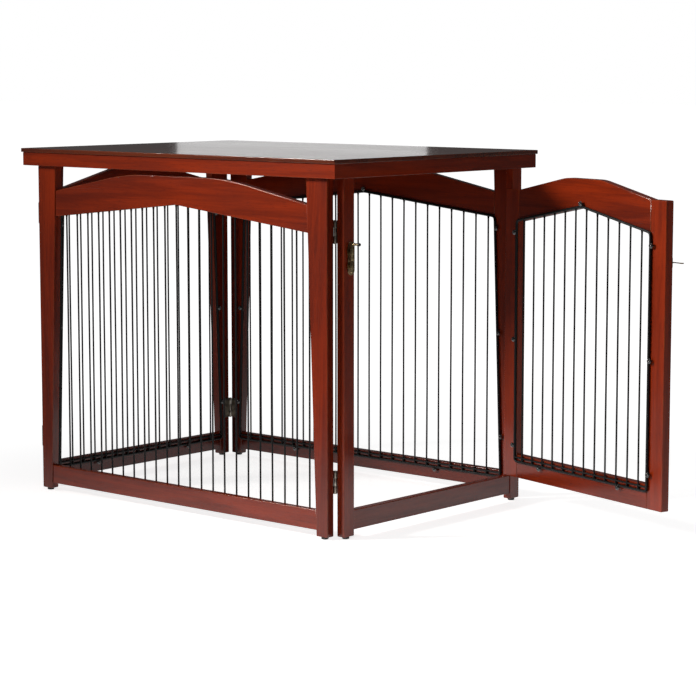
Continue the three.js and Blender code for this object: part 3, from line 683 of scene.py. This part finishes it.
GRILLES = {
    "front": (SIDE_LENGTH, side_post_width, RAIL_TOP),
    "back": (SIDE_LENGTH, side_post_width, RAIL_TOP),
    "left_end": (END_LENGTH, side_post_width, RAIL_TOP),
    "door": (DOOR_LENGTH, stile_width, DOOR_RAIL_TOP),
}
for panel, (length, width_at, sill_top) in GRILLES.items():
    points, faces = grille(length, width_at, sill_top)
    mat = mesh_piece(f"{panel}_grille", in_panel(panel, points), faces, wire_black, 50)
    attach(mat, panel)
    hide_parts(f"{panel}_wire_grille")

# ---- Grille screws -------------------------------------------------------------------------------
# Round-head black screws stand beside the frame wire and trap it with their heads: three up each side,
# one over the peak and two under the lower wire.
SCREW_OUT = 4.9 * MM
PEAK_SCREW_UP = 5.9 * MM
SIDE_SCREW_HEIGHTS = (141 * MM, 384 * MM, 627 * MM)
HEAD_SEAT = 26.6 * MM
HEAD_RADIUS = 6 * MM
HEAD_HEIGHT = 3.6 * MM
SHANK_RADIUS = 1.6 * MM
WOOD_FACE = 20.3 * MM
SCREW_SIDES = 24
LOWER_SCREW_SHARES = (0.25, 0.75)
DOME_SHARES = np.array([0, 0.1, 0.2, 0.3, 0.42, 0.55, 0.7, 0.84, 0.94, 1.0])
DOME_POWER = 2.6
RIM_SHARE = 0.97
RIM_DROP = 0.06
RECESS_REACH = 0.52
RECESS_ARM = 0.13


def screw(head_radius, head_height, shank_radius, shank_length, recess=0.34):
    """A screw turned about its own axis, head up. The dome is height * (1 - (r / R) ** power), and the
    cross recess sinks it by recess * height * (1 - distance from the nearer arm / arm) inside its
    reach."""
    under = -head_height * RIM_DROP
    dome = head_height * (1 - DOME_SHARES[1:] ** DOME_POWER)
    rim = [head_radius * RIM_SHARE, shank_radius, shank_radius]
    radius = np.append(DOME_SHARES[1:] * head_radius, rim)
    height = np.append(dome, [under, under, -shank_length])
    angle = np.arange(SCREW_SIDES) * 2 * math.pi / SCREW_SIDES
    x = radius[:, None] * np.cos(angle)
    y = radius[:, None] * np.sin(angle)
    near_arm = np.minimum(np.abs(x), np.abs(y)) / (RECESS_ARM * head_radius)
    sunk = np.clip(1 - near_arm, 0, 1) * (radius[:, None] < RECESS_REACH * head_radius)
    z = height[:, None] - recess * head_height * sunk
    grid = np.stack([x, y, z], axis=2).reshape(-1, 3)
    middle = np.array([[0, 0, head_height * (1 - recess)]])
    rings = len(radius)
    i = np.arange(SCREW_SIDES)
    ahead = (i + 1) % SCREW_SIDES
    r = np.arange(rings - 1)[:, None] * SCREW_SIDES
    quads = np.stack([r + i, r + SCREW_SIDES + i, r + SCREW_SIDES + ahead, r + ahead], axis=2)
    faces = quads.reshape(-1, 4).tolist()
    faces += np.stack([np.full(SCREW_SIDES, rings * SCREW_SIDES), i, ahead], axis=1).tolist()
    faces += [((rings - 1) * SCREW_SIDES + i[::-1]).tolist()]
    return np.concatenate([grid, middle]), faces


def set_screw(shape, place, axis, turn):
    """A screw with the underside of its head at place and its head towards axis, turned about it."""
    points, faces = shape
    axis = unit(axis)
    side = unit(np.cross(axis, (0, 0, 1)) if abs(axis[2]) < 0.9 else np.cross(axis, (1, 0, 0)))
    over = np.cross(axis, side)
    spun = math.cos(turn) * side + math.sin(turn) * over
    across = np.cross(axis, spun)
    return place + points @ np.stack([spun, across, axis]), faces


black_oxide, oxide_shader = clouded_finish(
    "black_oxide_screw", (400.0, 3.0), ((0.008, 0.008, 0.009, 1), (0.030, 0.028, 0.026, 1)),
    gloss=(0.14, 0.3), relief=(0.1, 0.0003))
oxide_shader.inputs["Coat Weight"].default_value = 1.0
oxide_shader.inputs["Coat Roughness"].default_value = 0.08
grille_screw = screw(HEAD_RADIUS, HEAD_HEIGHT, SHANK_RADIUS, HEAD_SEAT - WOOD_FACE)
for panel, (length, width_at, sill_top) in GRILLES.items():
    low = sill_top - LOWER_WIRE_DROP
    places = [(length / 2, ARCH_PEAK + WIRE_LAP + PEAK_SCREW_UP)]
    for height in SIDE_SCREW_HEIGHTS:
        out = width_at(height) - WIRE_LAP - SCREW_OUT
        places += [(out, height), (length - out, height)]
    places += [(length * share, low - SCREW_OUT) for share in LOWER_SCREW_SHARES]
    inward = panel_frame(panel)[2]
    parts = []
    for along, height in places:
        seat = in_panel(panel, np.array([along, HEAD_SEAT, height]))
        parts.append(set_screw(grille_screw, seat, inward, luck.uniform(0, math.pi)))
    points, faces = gathered(parts)
    screws = mesh_piece(f"{panel}_grille_screws", points, faces, black_oxide)
    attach(screws, panel)

# ---- Hinges --------------------------------------------------------------------------------------
# Butt hinges of dull steel join the panels at three corners and hang the door. A leaf is rolled round
# the pin in knuckles and screwed down through countersunk holes. The pin is staked in the leaf with
# two knuckles.
LEAF_TALL = 50 * MM
LEAF_EASE = 0.25 * MM
LEAF_CORNER = 3 * MM
KNUCKLE_GAP = 0.4 * MM
KNUCKLE_EASE = 0.35 * MM
TONGUE_EASE = 0.2 * MM
TONGUE_CORNER = 0.3 * MM
TONGUE_LAP = 2 * MM
TONGUE_START = 0.2
PIN_RADIUS = 1.4 * MM
PIN_EASE = 0.4 * MM
PIN_SIDES = 14
PIN_HEAD = {"low": -0.5 * MM, "high": 0.25 * MM, "soft": 0.24 * MM}
PIN_HEAD_SHARE = 0.8
PIN_HEAD_SIDES = 16
PIN_HEAD_SUNK = 0.12 * MM
LEAF_SCREW_HEAD = 3.1 * MM
LEAF_SCREW_SHANK = 1.3 * MM
LEAF_SCREW_BITE = 0.7 * MM
LEAF_SCREW_RECESS = 0.9
LEAF_SCREW_PLACES = ((0.16, -0.34), (-0.16, 0), (0.16, 0.34))
STAKED_LEAF_WIDE = 22 * MM
DOOR_LEAF_WIDE = 17 * MM
CORNER_HINGE_HEIGHTS = {"lower": 123 * MM, "upper": 655 * MM}
DOOR_HINGE_HEIGHTS = {"lower": 150 * MM, "upper": 640 * MM}
CORNER_LEAF = {"thick": 1.5 * MM, "offset": 2.2 * MM, "knuckle": 3.04 * MM, "proud": 0.3 * MM}
DOOR_LEAF = {"thick": 1.0 * MM, "offset": 1.2 * MM, "knuckle": 3.0 * MM, "proud": 0.1 * MM}


def worn_metal(name, clean, tarnished, smooth, dull):
    """Bare metal with a clouded finish: its colour and roughness drift together between clean and
    tarnished."""
    material, tree, shader = finish_material(name)
    place = tree.nodes.new("ShaderNodeTexCoord").outputs["Object"]
    cloud = ranged(tree, noise(tree, place, 90.0, 4.0, 0.6), 0.35, 0.65, 0, 1)
    tree.links.new(mixed(tree, cloud, clean, tarnished), shader.inputs["Base Color"])
    tree.links.new(ranged(tree, cloud, 0, 1, smooth, dull), shader.inputs["Roughness"])
    shader.inputs["Metallic"].default_value = 1.0
    bumped(tree, shader, noise(tree, place, 700.0, 3.0), 0.12, 0.0002)
    return material


hinge_steel = worn_metal(
    "dull_steel", (0.42, 0.39, 0.34, 1), (0.20, 0.18, 0.15, 1), 0.28, 0.42)


def turned(profile, sides=20):
    """A piece turned about its own axis: each (radius, height) of the profile sweeps a ring of
    (radius * cos, radius * sin, height). The profile starts and ends on the axis, and a fan closes it
    at each end."""
    profile = np.asarray(profile, float)
    rings = profile[1:-1]
    angle = np.arange(sides) * 2 * math.pi / sides
    x = rings[:, :1] * np.cos(angle)
    y = rings[:, :1] * np.sin(angle)
    z = np.broadcast_to(rings[:, 1:], x.shape)
    grid = np.stack([x, y, z], axis=2).reshape(-1, 3)
    ends = np.array([[0, 0, profile[0][1]], [0, 0, profile[-1][1]]])
    count, i = len(rings), np.arange(sides)
    ahead = (i + 1) % sides
    r = np.arange(count - 1)[:, None] * sides
    quads = np.stack([r + i, r + ahead, r + sides + ahead, r + sides + i], axis=2)
    faces = quads.reshape(-1, 4).tolist()
    faces += np.stack([np.full(sides, count * sides), ahead, i], axis=1).tolist()
    top = (count - 1) * sides
    faces += np.stack([np.full(sides, count * sides + 1), top + i, top + ahead], axis=1).tolist()
    return np.concatenate([grid, ends]), faces


def barrel(radius, low, high, soft):
    """The profile of a cylinder from low to high whose rims are rounded: at an angle up to a quarter
    turn, the rim is at radius - soft * (1 - sin) and low + soft * (1 - cos)."""
    a = np.linspace(0, math.pi / 2, 4)
    foot = np.stack([radius - soft + soft * np.sin(a), low + soft * (1 - np.cos(a))], axis=1)
    head = np.stack([foot[::-1, 0], high - (foot[::-1, 1] - low)], axis=1)
    return np.concatenate([[[0, low]], foot, head, [[0, high]]])


def carried(points, place, x_way, y_way, z_way):
    """Points drawn about a part's own axes, carried to place with the axes along the three ways."""
    return np.asarray(place) + points @ np.array([x_way, y_way, z_way], float)


def rounded_rectangle(low, high, radius):
    """The outline of a rectangle with each corner rounded, from its low and high corners."""
    corners = np.array([(low[0], low[1]), (high[0], low[1]), (high[0], high[1]), (low[0], high[1])])
    return eased_outline(corners, radius)


def hinge_leaf(centre, width, side, thick, offset, knuckle, proud, holds_pin):
    """A leaf along +X from its pin at the origin: a flat plate on one side of the pin's plane, its
    knuckles, the tongues that join them, three screws, and the pin where this leaf holds it."""
    low = offset - thick if side > 0 else -offset
    clear = knuckle + KNUCKLE_GAP
    half, third = LEAF_TALL / 2, LEAF_TALL / 3

    def flat(outline, ease):
        points, faces, _ = slab_surface(outline, -low - thick, -low, ease)
        return points[:, [0, 2, 1]] * (1, -1, 1), faces

    plate = rounded_rectangle((clear, centre - half), (width, centre + half), LEAF_CORNER)
    parts = [flat(plate, LEAF_EASE)]
    for k in ((-1, 1) if holds_pin else (0,)):
        start = centre + (k - 0.5) * third + KNUCKLE_GAP / 2
        end = centre + (k + 0.5) * third - KNUCKLE_GAP / 2
        parts.append(turned(barrel(knuckle, start, end, KNUCKLE_EASE)))
        tongue = rounded_rectangle(
            (TONGUE_START * knuckle, start), (clear + TONGUE_LAP, end), TONGUE_CORNER)
        parts.append(flat(tongue, TONGUE_EASE))
    if holds_pin:
        parts.append(turned(barrel(PIN_RADIUS, centre - half, centre + half, PIN_EASE), PIN_SIDES))
        for way in (-1, 1):
            points, faces = turned(barrel(knuckle * PIN_HEAD_SHARE, **PIN_HEAD), PIN_HEAD_SIDES)
            parts.append((points + (0, 0, centre + (half - PIN_HEAD_SUNK) * way), faces))
    seat_depth = low if side > 0 else low + thick
    middle = (clear + width) / 2
    shape = screw(
        LEAF_SCREW_HEAD, proud, LEAF_SCREW_SHANK, thick + LEAF_SCREW_BITE, LEAF_SCREW_RECESS)
    for share, height in LEAF_SCREW_PLACES:
        seat = np.array([middle + share * width, seat_depth, centre + height * LEAF_TALL])
        parts.append(set_screw(shape, seat, (0, -side, 0), luck.uniform(0, math.pi)))
    return gathered(parts)


def hang_leaf(node, body, pin, centre, heading, side, width, holds_pin, sizes):
    """Makes one leaf in its place, its length along a heading in degrees from +X."""
    points, faces = hinge_leaf(centre, width, side, holds_pin=holds_pin, **sizes)
    turn = math.radians(heading)
    x_way, y_way = (math.cos(turn), math.sin(turn), 0), (-math.sin(turn), math.cos(turn), 0)
    points = carried(points, (*pin, 0), x_way, y_way, (0, 0, 1))
    made = mesh_piece(f"{node}_steel", points, faces, hinge_steel)
    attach(made, body)
    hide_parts(node)


joint_pins = {j["name"]: j["pos_m"][:2] for j in frame["joints"] if "pos_m" in j}
# Each corner's joint, the heading and side of the leaf that holds the pin and of the leaf that turns,
# the turning leaf's width, and the panels they are screwed to.
CORNERS = {
    "right": ("right_corner_fold", (180, 1), (90, -1), 22 * MM, ("front", "door_end")),
    "left": ("left_corner_fold", (0, -1), (180, -1), 25 * MM, ("front", "left_end")),
    "back": ("back_corner_fold", (-90, -1), (0, 1), 22 * MM, ("left_end", "back")),
}
for corner, (joint, holds, turns, wide, (holder, turner)) in CORNERS.items():
    for level, centre in CORNER_HINGE_HEIGHTS.items():
        hinge, at = f"{corner}_corner_{level}_hinge", (joint_pins[joint], centre)
        hang_leaf(f"{hinge}_{holder}_leaf", holder, *at, *holds, STAKED_LEAF_WIDE, True, CORNER_LEAF)
        hang_leaf(f"{hinge}_{turner}_leaf", turner, *at, *turns, wide, False, CORNER_LEAF)
door_inward = 180 + math.degrees(math.atan2(door_out[1], door_out[0]))
for level, centre in DOOR_HINGE_HEIGHTS.items():
    hinge, at, wide = f"door_{level}_hinge", (door_pin, centre), DOOR_LEAF_WIDE
    hang_leaf(f"{hinge}_door_leaf", "door", *at, door_inward, 1, wide, False, DOOR_LEAF)
    hang_leaf(f"{hinge}_jamb_leaf", "door_end", *at, 180, -1, wide, True, DOOR_LEAF)

# ---- Latch ---------------------------------------------------------------------------------------
# A drop bolt of dark antique brass on the latch jamb: a round-ended plate with two pressed saddles, and
# a bolt with a side handle and a dark knob. The door carries its keeper, whose arm ends in an eye for
# the bolt.
PLATE_MIDDLE_Y = -286.0 * MM
PLATE_HALF_WIDTH = 10.5 * MM
PLATE_Z = (564 * MM, 635 * MM)
PLATE_THICK = 1.6 * MM
PLATE_EASE = 0.5 * MM
JAMB_FACE_X = 207.115 * MM
TOUCH = 0.3 * MM
BOLT_Y = -291 * MM
BOLT_OUT = 6.9 * MM
BOLT_RADIUS = 2.4 * MM
BOLT_Z = (595.1 * MM, 632.8 * MM)
BOLT_EASE = 0.9 * MM
BOLT_SIDES = 24
HANDLE_Z = 629.8 * MM
HANDLE_RADIUS = 2.8 * MM
HANDLE_OUT = 17 * MM
NECK_RADIUS = 1.9 * MM
NECK_OUT = 4.8 * MM
GROOVE_RADIUS = 2.2 * MM
GROOVE_OUT = (14.4 * MM, 15.2 * MM)
SHOULDER = 1 * MM
GROOVE_LIP = 0.6 * MM
KNOB_RADIUS = 3.6 * MM
KNOB_LONG = 7 * MM
KNOB_POWER = 0.7
SADDLE_TALL = 13 * MM
SADDLE_BORE = 2.9 * MM
SADDLE_WALL = 1.5 * MM
SADDLE_SUNK = 0.1 * MM
SADDLE_EASE = 0.35 * MM
SADDLE_Z = (585 * MM, 614 * MM)
SADDLE_FOOT = 8.5 * MM

antique_brass = worn_metal(
    "antique_brass", (0.50, 0.39, 0.22, 1), (0.16, 0.11, 0.06, 1), 0.2, 0.36)
dark_knob, _ = clouded_finish(
    "dark_knob", (300.0, 3.0), ((0.006, 0.005, 0.005, 1), (0.018, 0.014, 0.012, 1)),
    gloss=(0.22, 0.4), relief=(0.1, 0.0003))


def on_jamb(points):
    """Points drawn as (outwards from the jamb's face, along +Y, up), carried to the jamb."""
    return np.asarray(points) + (JAMB_FACE_X, 0, 0)


def stadium(middle, half_width, low, high, steps=12):
    """A round-ended outline: half circles of half_width * (cos, sin) about its two centres."""
    a = np.linspace(0, math.pi, steps)
    arc = half_width * np.stack([np.cos(a), np.sin(a)], axis=1)
    return np.concatenate([(middle, high - half_width) + arc, (middle, low + half_width) - arc])


def saddle_outline(back, steps=13):
    """A pressed strap in section (along, out): two feet on the plate at the depth back, and an arch of
    the bore's radius * (cos, sin) about the bolt, drawn round the outside and back round the inside."""
    a = np.linspace(0, math.pi, steps)
    inner, outer, front = SADDLE_BORE, SADDLE_BORE + SADDLE_WALL, back + SADDLE_WALL
    over = np.stack([outer * np.cos(a), outer * np.sin(a)], axis=1)
    under = np.stack([-inner * np.cos(a), inner * np.sin(a)], axis=1)
    right = [(SADDLE_FOOT, back), (SADDLE_FOOT, front), (outer, front)]
    left = [(-outer, front), (-SADDLE_FOOT, front), (-SADDLE_FOOT, back)]
    return np.concatenate([right, over, left, [(-inner, back)], under, [(inner, back)]])


plate_outline = stadium(PLATE_MIDDLE_Y, PLATE_HALF_WIDTH, *PLATE_Z)
plate_front = TOUCH + PLATE_THICK
plate_points, plate_faces, _ = slab_surface(plate_outline, TOUCH, plate_front, PLATE_EASE)
latch_parts = [(on_jamb(plate_points[:, [2, 0, 1]]), plate_faces)]
strap_outline = saddle_outline(plate_front - SADDLE_SUNK - BOLT_OUT)
for middle in SADDLE_Z:
    low, high = middle - SADDLE_TALL / 2, middle + SADDLE_TALL / 2
    strap, strap_faces, _ = slab_surface(strap_outline, low, high, SADDLE_EASE)
    strap = strap[:, [1, 0, 2]] * (1, -1, 1) + (BOLT_OUT, BOLT_Y, 0)
    latch_parts.append((on_jamb(strap), strap_faces))
latch_screw = screw(4 * MM, 2.6 * MM, 1.6 * MM, 1.9 * MM)
small_screw = screw(2.6 * MM, 1.3 * MM, 1.2 * MM, 1.9 * MM)
LATCH_SCREWS = (
    (latch_screw, -281.6 * MM, 597.5 * MM), (small_screw, -286 * MM, 570.5 * MM),
    (small_screw, -285 * MM, 628.5 * MM))
for shape, y, z in LATCH_SCREWS:
    seat = np.array([JAMB_FACE_X + plate_front, y, z])
    latch_parts.append(set_screw(shape, seat, (1, 0, 0), luck.uniform(0, math.pi)))
latch = mesh_piece("latch_plate_brass", *gathered(latch_parts), antique_brass, 40)
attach(latch, "door_end")
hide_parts("latch_plate")

rod, rod_faces = turned(barrel(BOLT_RADIUS, *BOLT_Z, BOLT_EASE), BOLT_SIDES)
# The handle's neck is slim, so that it drops past the saddle, and a groove runs round it by the knob.
neck = [
    (0, 0), (NECK_RADIUS, 0), (NECK_RADIUS, NECK_OUT), (HANDLE_RADIUS, NECK_OUT + SHOULDER),
    (HANDLE_RADIUS, GROOVE_OUT[0] - SHOULDER), (GROOVE_RADIUS, GROOVE_OUT[0]),
    (GROOVE_RADIUS, GROOVE_OUT[1]), (HANDLE_RADIUS, GROOVE_OUT[1] + GROOVE_LIP),
    (HANDLE_RADIUS, HANDLE_OUT), (0, HANDLE_OUT)]
handle, handle_faces = turned(neck, BOLT_SIDES)
handle = carried(handle, (BOLT_OUT, BOLT_Y, HANDLE_Z), (0, 1, 0), (0, 0, 1), (1, 0, 0))
bolt_parts = [(on_jamb(rod + (BOLT_OUT, BOLT_Y, 0)), rod_faces), (on_jamb(handle), handle_faces)]
bolt = mesh_piece("latch_bolt_brass", *gathered(bolt_parts), antique_brass, 40)
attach(bolt, "latch_bolt")
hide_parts("latch_bolt")

swell = np.linspace(0, math.pi, 11)
knob_profile = np.stack([
    KNOB_RADIUS * np.sin(swell) ** KNOB_POWER, KNOB_LONG * (1 - np.cos(swell)) / 2], axis=1)
knob, knob_faces = turned(knob_profile, BOLT_SIDES)
knob_place = (BOLT_OUT + HANDLE_OUT + TOUCH, BOLT_Y, HANDLE_Z)
knob = carried(knob, knob_place, (0, 1, 0), (0, 0, 1), (1, 0, 0))
knob_piece = mesh_piece("latch_knob_dark", on_jamb(knob), knob_faces, dark_knob, 50)
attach(knob_piece, "latch_bolt")
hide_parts("latch_knob")

# The keeper, in the door's measures: along the door from its latch edge, out from its face, and up.
KEEPER_ALONG = (2 * MM, 11 * MM)
KEEPER_Z = (582.1 * MM, 604.1 * MM)
KEEPER_THICK = 1.5 * MM
KEEPER_CORNER = 2.5 * MM
KEEPER_EASE = 0.4 * MM
ARM_CORNER = 1.0 * MM
ARM_EASE = 0.3 * MM
RISER_INSET = 0.4 * MM
RISER_CORNER = 0.6 * MM
RISER_SUNK = 0.2 * MM
KEEPER_SCREW_HEIGHTS = (586.6 * MM, 599.8 * MM)
EYE_Z = (592.1 * MM, 594.1 * MM)
EYE_ALONG = -19.5 * MM
EYE_BORE = 3 * MM
EYE_WALL = 1.5 * MM
EYE_SIDES = 32


def on_door(points):
    """Points drawn as (along the door, outwards from its face, up), carried to the door."""
    return carried(points, (*door_origin, 0), (*door_side, 0), (*door_out, 0), (0, 0, 1))


def ring_section(inner, outer, low, high, soft):
    """A flat eye: a square section with cut corners, swept round the bore's axis as
    (radius * cos, radius * sin, height)."""
    section = [(outer - soft, low), (outer, low + soft), (outer, high - soft), (outer - soft, high),
               (inner + soft, high), (inner, high - soft), (inner, low + soft), (inner + soft, low)]
    radius, height = np.array(section).T
    angle = np.arange(EYE_SIDES) * 2 * math.pi / EYE_SIDES
    level = np.broadcast_to(height, (EYE_SIDES, len(height)))
    grid = np.stack([np.outer(np.cos(angle), radius), np.outer(np.sin(angle), radius), level], axis=2)
    count, i = len(section), np.arange(len(section))
    s = np.arange(EYE_SIDES)[:, None]
    here, there = s * count, (s + 1) % EYE_SIDES * count
    ahead = (i + 1) % count
    quads = np.stack([here + i, there + i, there + ahead, here + ahead], axis=2)
    return grid.reshape(-1, 3), quads.reshape(-1, 4).tolist()


near, far = KEEPER_ALONG
keeper_face = rounded_rectangle((near, KEEPER_Z[0]), (far, KEEPER_Z[1]), KEEPER_CORNER)
keeper_front = TOUCH + KEEPER_THICK
keeper_plate, keeper_faces, _ = slab_surface(keeper_face, TOUCH, keeper_front, KEEPER_EASE)
arm_flat = rounded_rectangle(
    (EYE_ALONG + EYE_BORE + ARM_EASE, BOLT_OUT - EYE_WALL), (far, BOLT_OUT + EYE_WALL), ARM_CORNER)
riser_flat = rounded_rectangle(
    (near + RISER_INSET, TOUCH + RISER_SUNK), (far - RISER_INSET, BOLT_OUT), RISER_CORNER)
arm, arm_faces, _ = slab_surface(arm_flat, *EYE_Z, ARM_EASE)
riser, riser_faces, _ = slab_surface(riser_flat, *EYE_Z, ARM_EASE)
eye, eye_faces = ring_section(EYE_BORE, EYE_BORE + EYE_WALL, *EYE_Z, ARM_EASE)
eye = eye + (EYE_ALONG, BOLT_OUT, 0)
# The door's measures are left-handed, so a part drawn straight in them has its faces turned round.
keeper_parts = [(on_door(keeper_plate[:, [0, 2, 1]]), keeper_faces)]
for points, faces in ((arm, arm_faces), (riser, riser_faces), (eye, eye_faces)):
    keeper_parts.append((on_door(points), [face[::-1] for face in faces]))
for z in KEEPER_SCREW_HEIGHTS:
    seat = on_door([[sum(KEEPER_ALONG) / 2, keeper_front, z]])[0]
    keeper_parts.append(set_screw(small_screw, seat, (*door_out, 0), luck.uniform(0, math.pi)))
keeper = mesh_piece("door_keeper_brass", *gathered(keeper_parts), antique_brass, 40)
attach(keeper, "door")
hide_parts("door_keeper")

# ---- Glides and pegs -----------------------------------------------------------------------------
# Each panel stands on two nailed plastic glides with a rounded rim. Two turned hardwood pegs in the
# front posts locate the table top.
GLIDE_RADIUS = 8 * MM
GLIDE_TALL = 5 * MM
GLIDE_ROUND = 2 * MM
GLIDE_SIDES = 28
GLIDE_HOLLOW = [(0, 0.5 * MM), (3.0 * MM, 0.5 * MM), (3.4 * MM, 0)]
GLIDE_TOP = [(0.97 * GLIDE_RADIUS, 4.4 * MM), (0.9 * GLIDE_RADIUS, GLIDE_TALL), (0, GLIDE_TALL)]
PEG_CHAMFER = 1.2 * MM
PEG_SIDES = 24
glide_plastic, _ = clouded_finish(
    "glide_plastic", (220.0, 5.0, 0.65), ((0.008, 0.006, 0.006, 1), (0.030, 0.024, 0.021, 1)),
    gloss=(0.45, 0.7), relief=(0.2, 0.0003))


def upright_place(node):
    """The middle of a CAD node seen from above, on the floor, and the node's low and high corners."""
    low, high = np.array(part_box(node))
    return (low + high) / 2 * (1, 1, 0), low, high


a = np.linspace(0, math.pi / 2, 5)
glide_arc = GLIDE_ROUND * np.stack([np.sin(a), -np.cos(a)], axis=1)
glide_rim = (GLIDE_RADIUS - GLIDE_ROUND, GLIDE_ROUND) + glide_arc
glide_profile = np.concatenate([GLIDE_HOLLOW, glide_rim, GLIDE_TOP])
GLIDES = {"front": ("left", "right"), "back": ("left", "right"),
          "left_end": ("front", "back"), "door_end": ("front", "back")}
for panel, sides in GLIDES.items():
    for side in sides:
        node = f"{panel}_{side}_glide"
        points, faces = turned(glide_profile, GLIDE_SIDES)
        foot = mesh_piece(f"{node}_plastic", points + upright_place(node)[0], faces, glide_plastic)
        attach(foot, panel)
        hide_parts(node)

for side in ("left", "right"):
    node = f"top_locating_peg_{side}"
    middle, low, high = upright_place(node)
    radius = (high[0] - low[0]) / 2
    points, faces = turned(barrel(radius, low[2], high[2], PEG_CHAMFER), PEG_SIDES)
    points = points + middle
    peg = mesh_piece(f"{node}_wood", points, faces, cherry)
    add_values(peg, "grain", points[:, [2, 0, 1]], "FLOAT_VECTOR")
    add_values(peg, "tone", np.zeros(len(points)))
    add_values(peg, "edge", np.zeros(len(points)))
    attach(peg, "front")
    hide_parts(node)
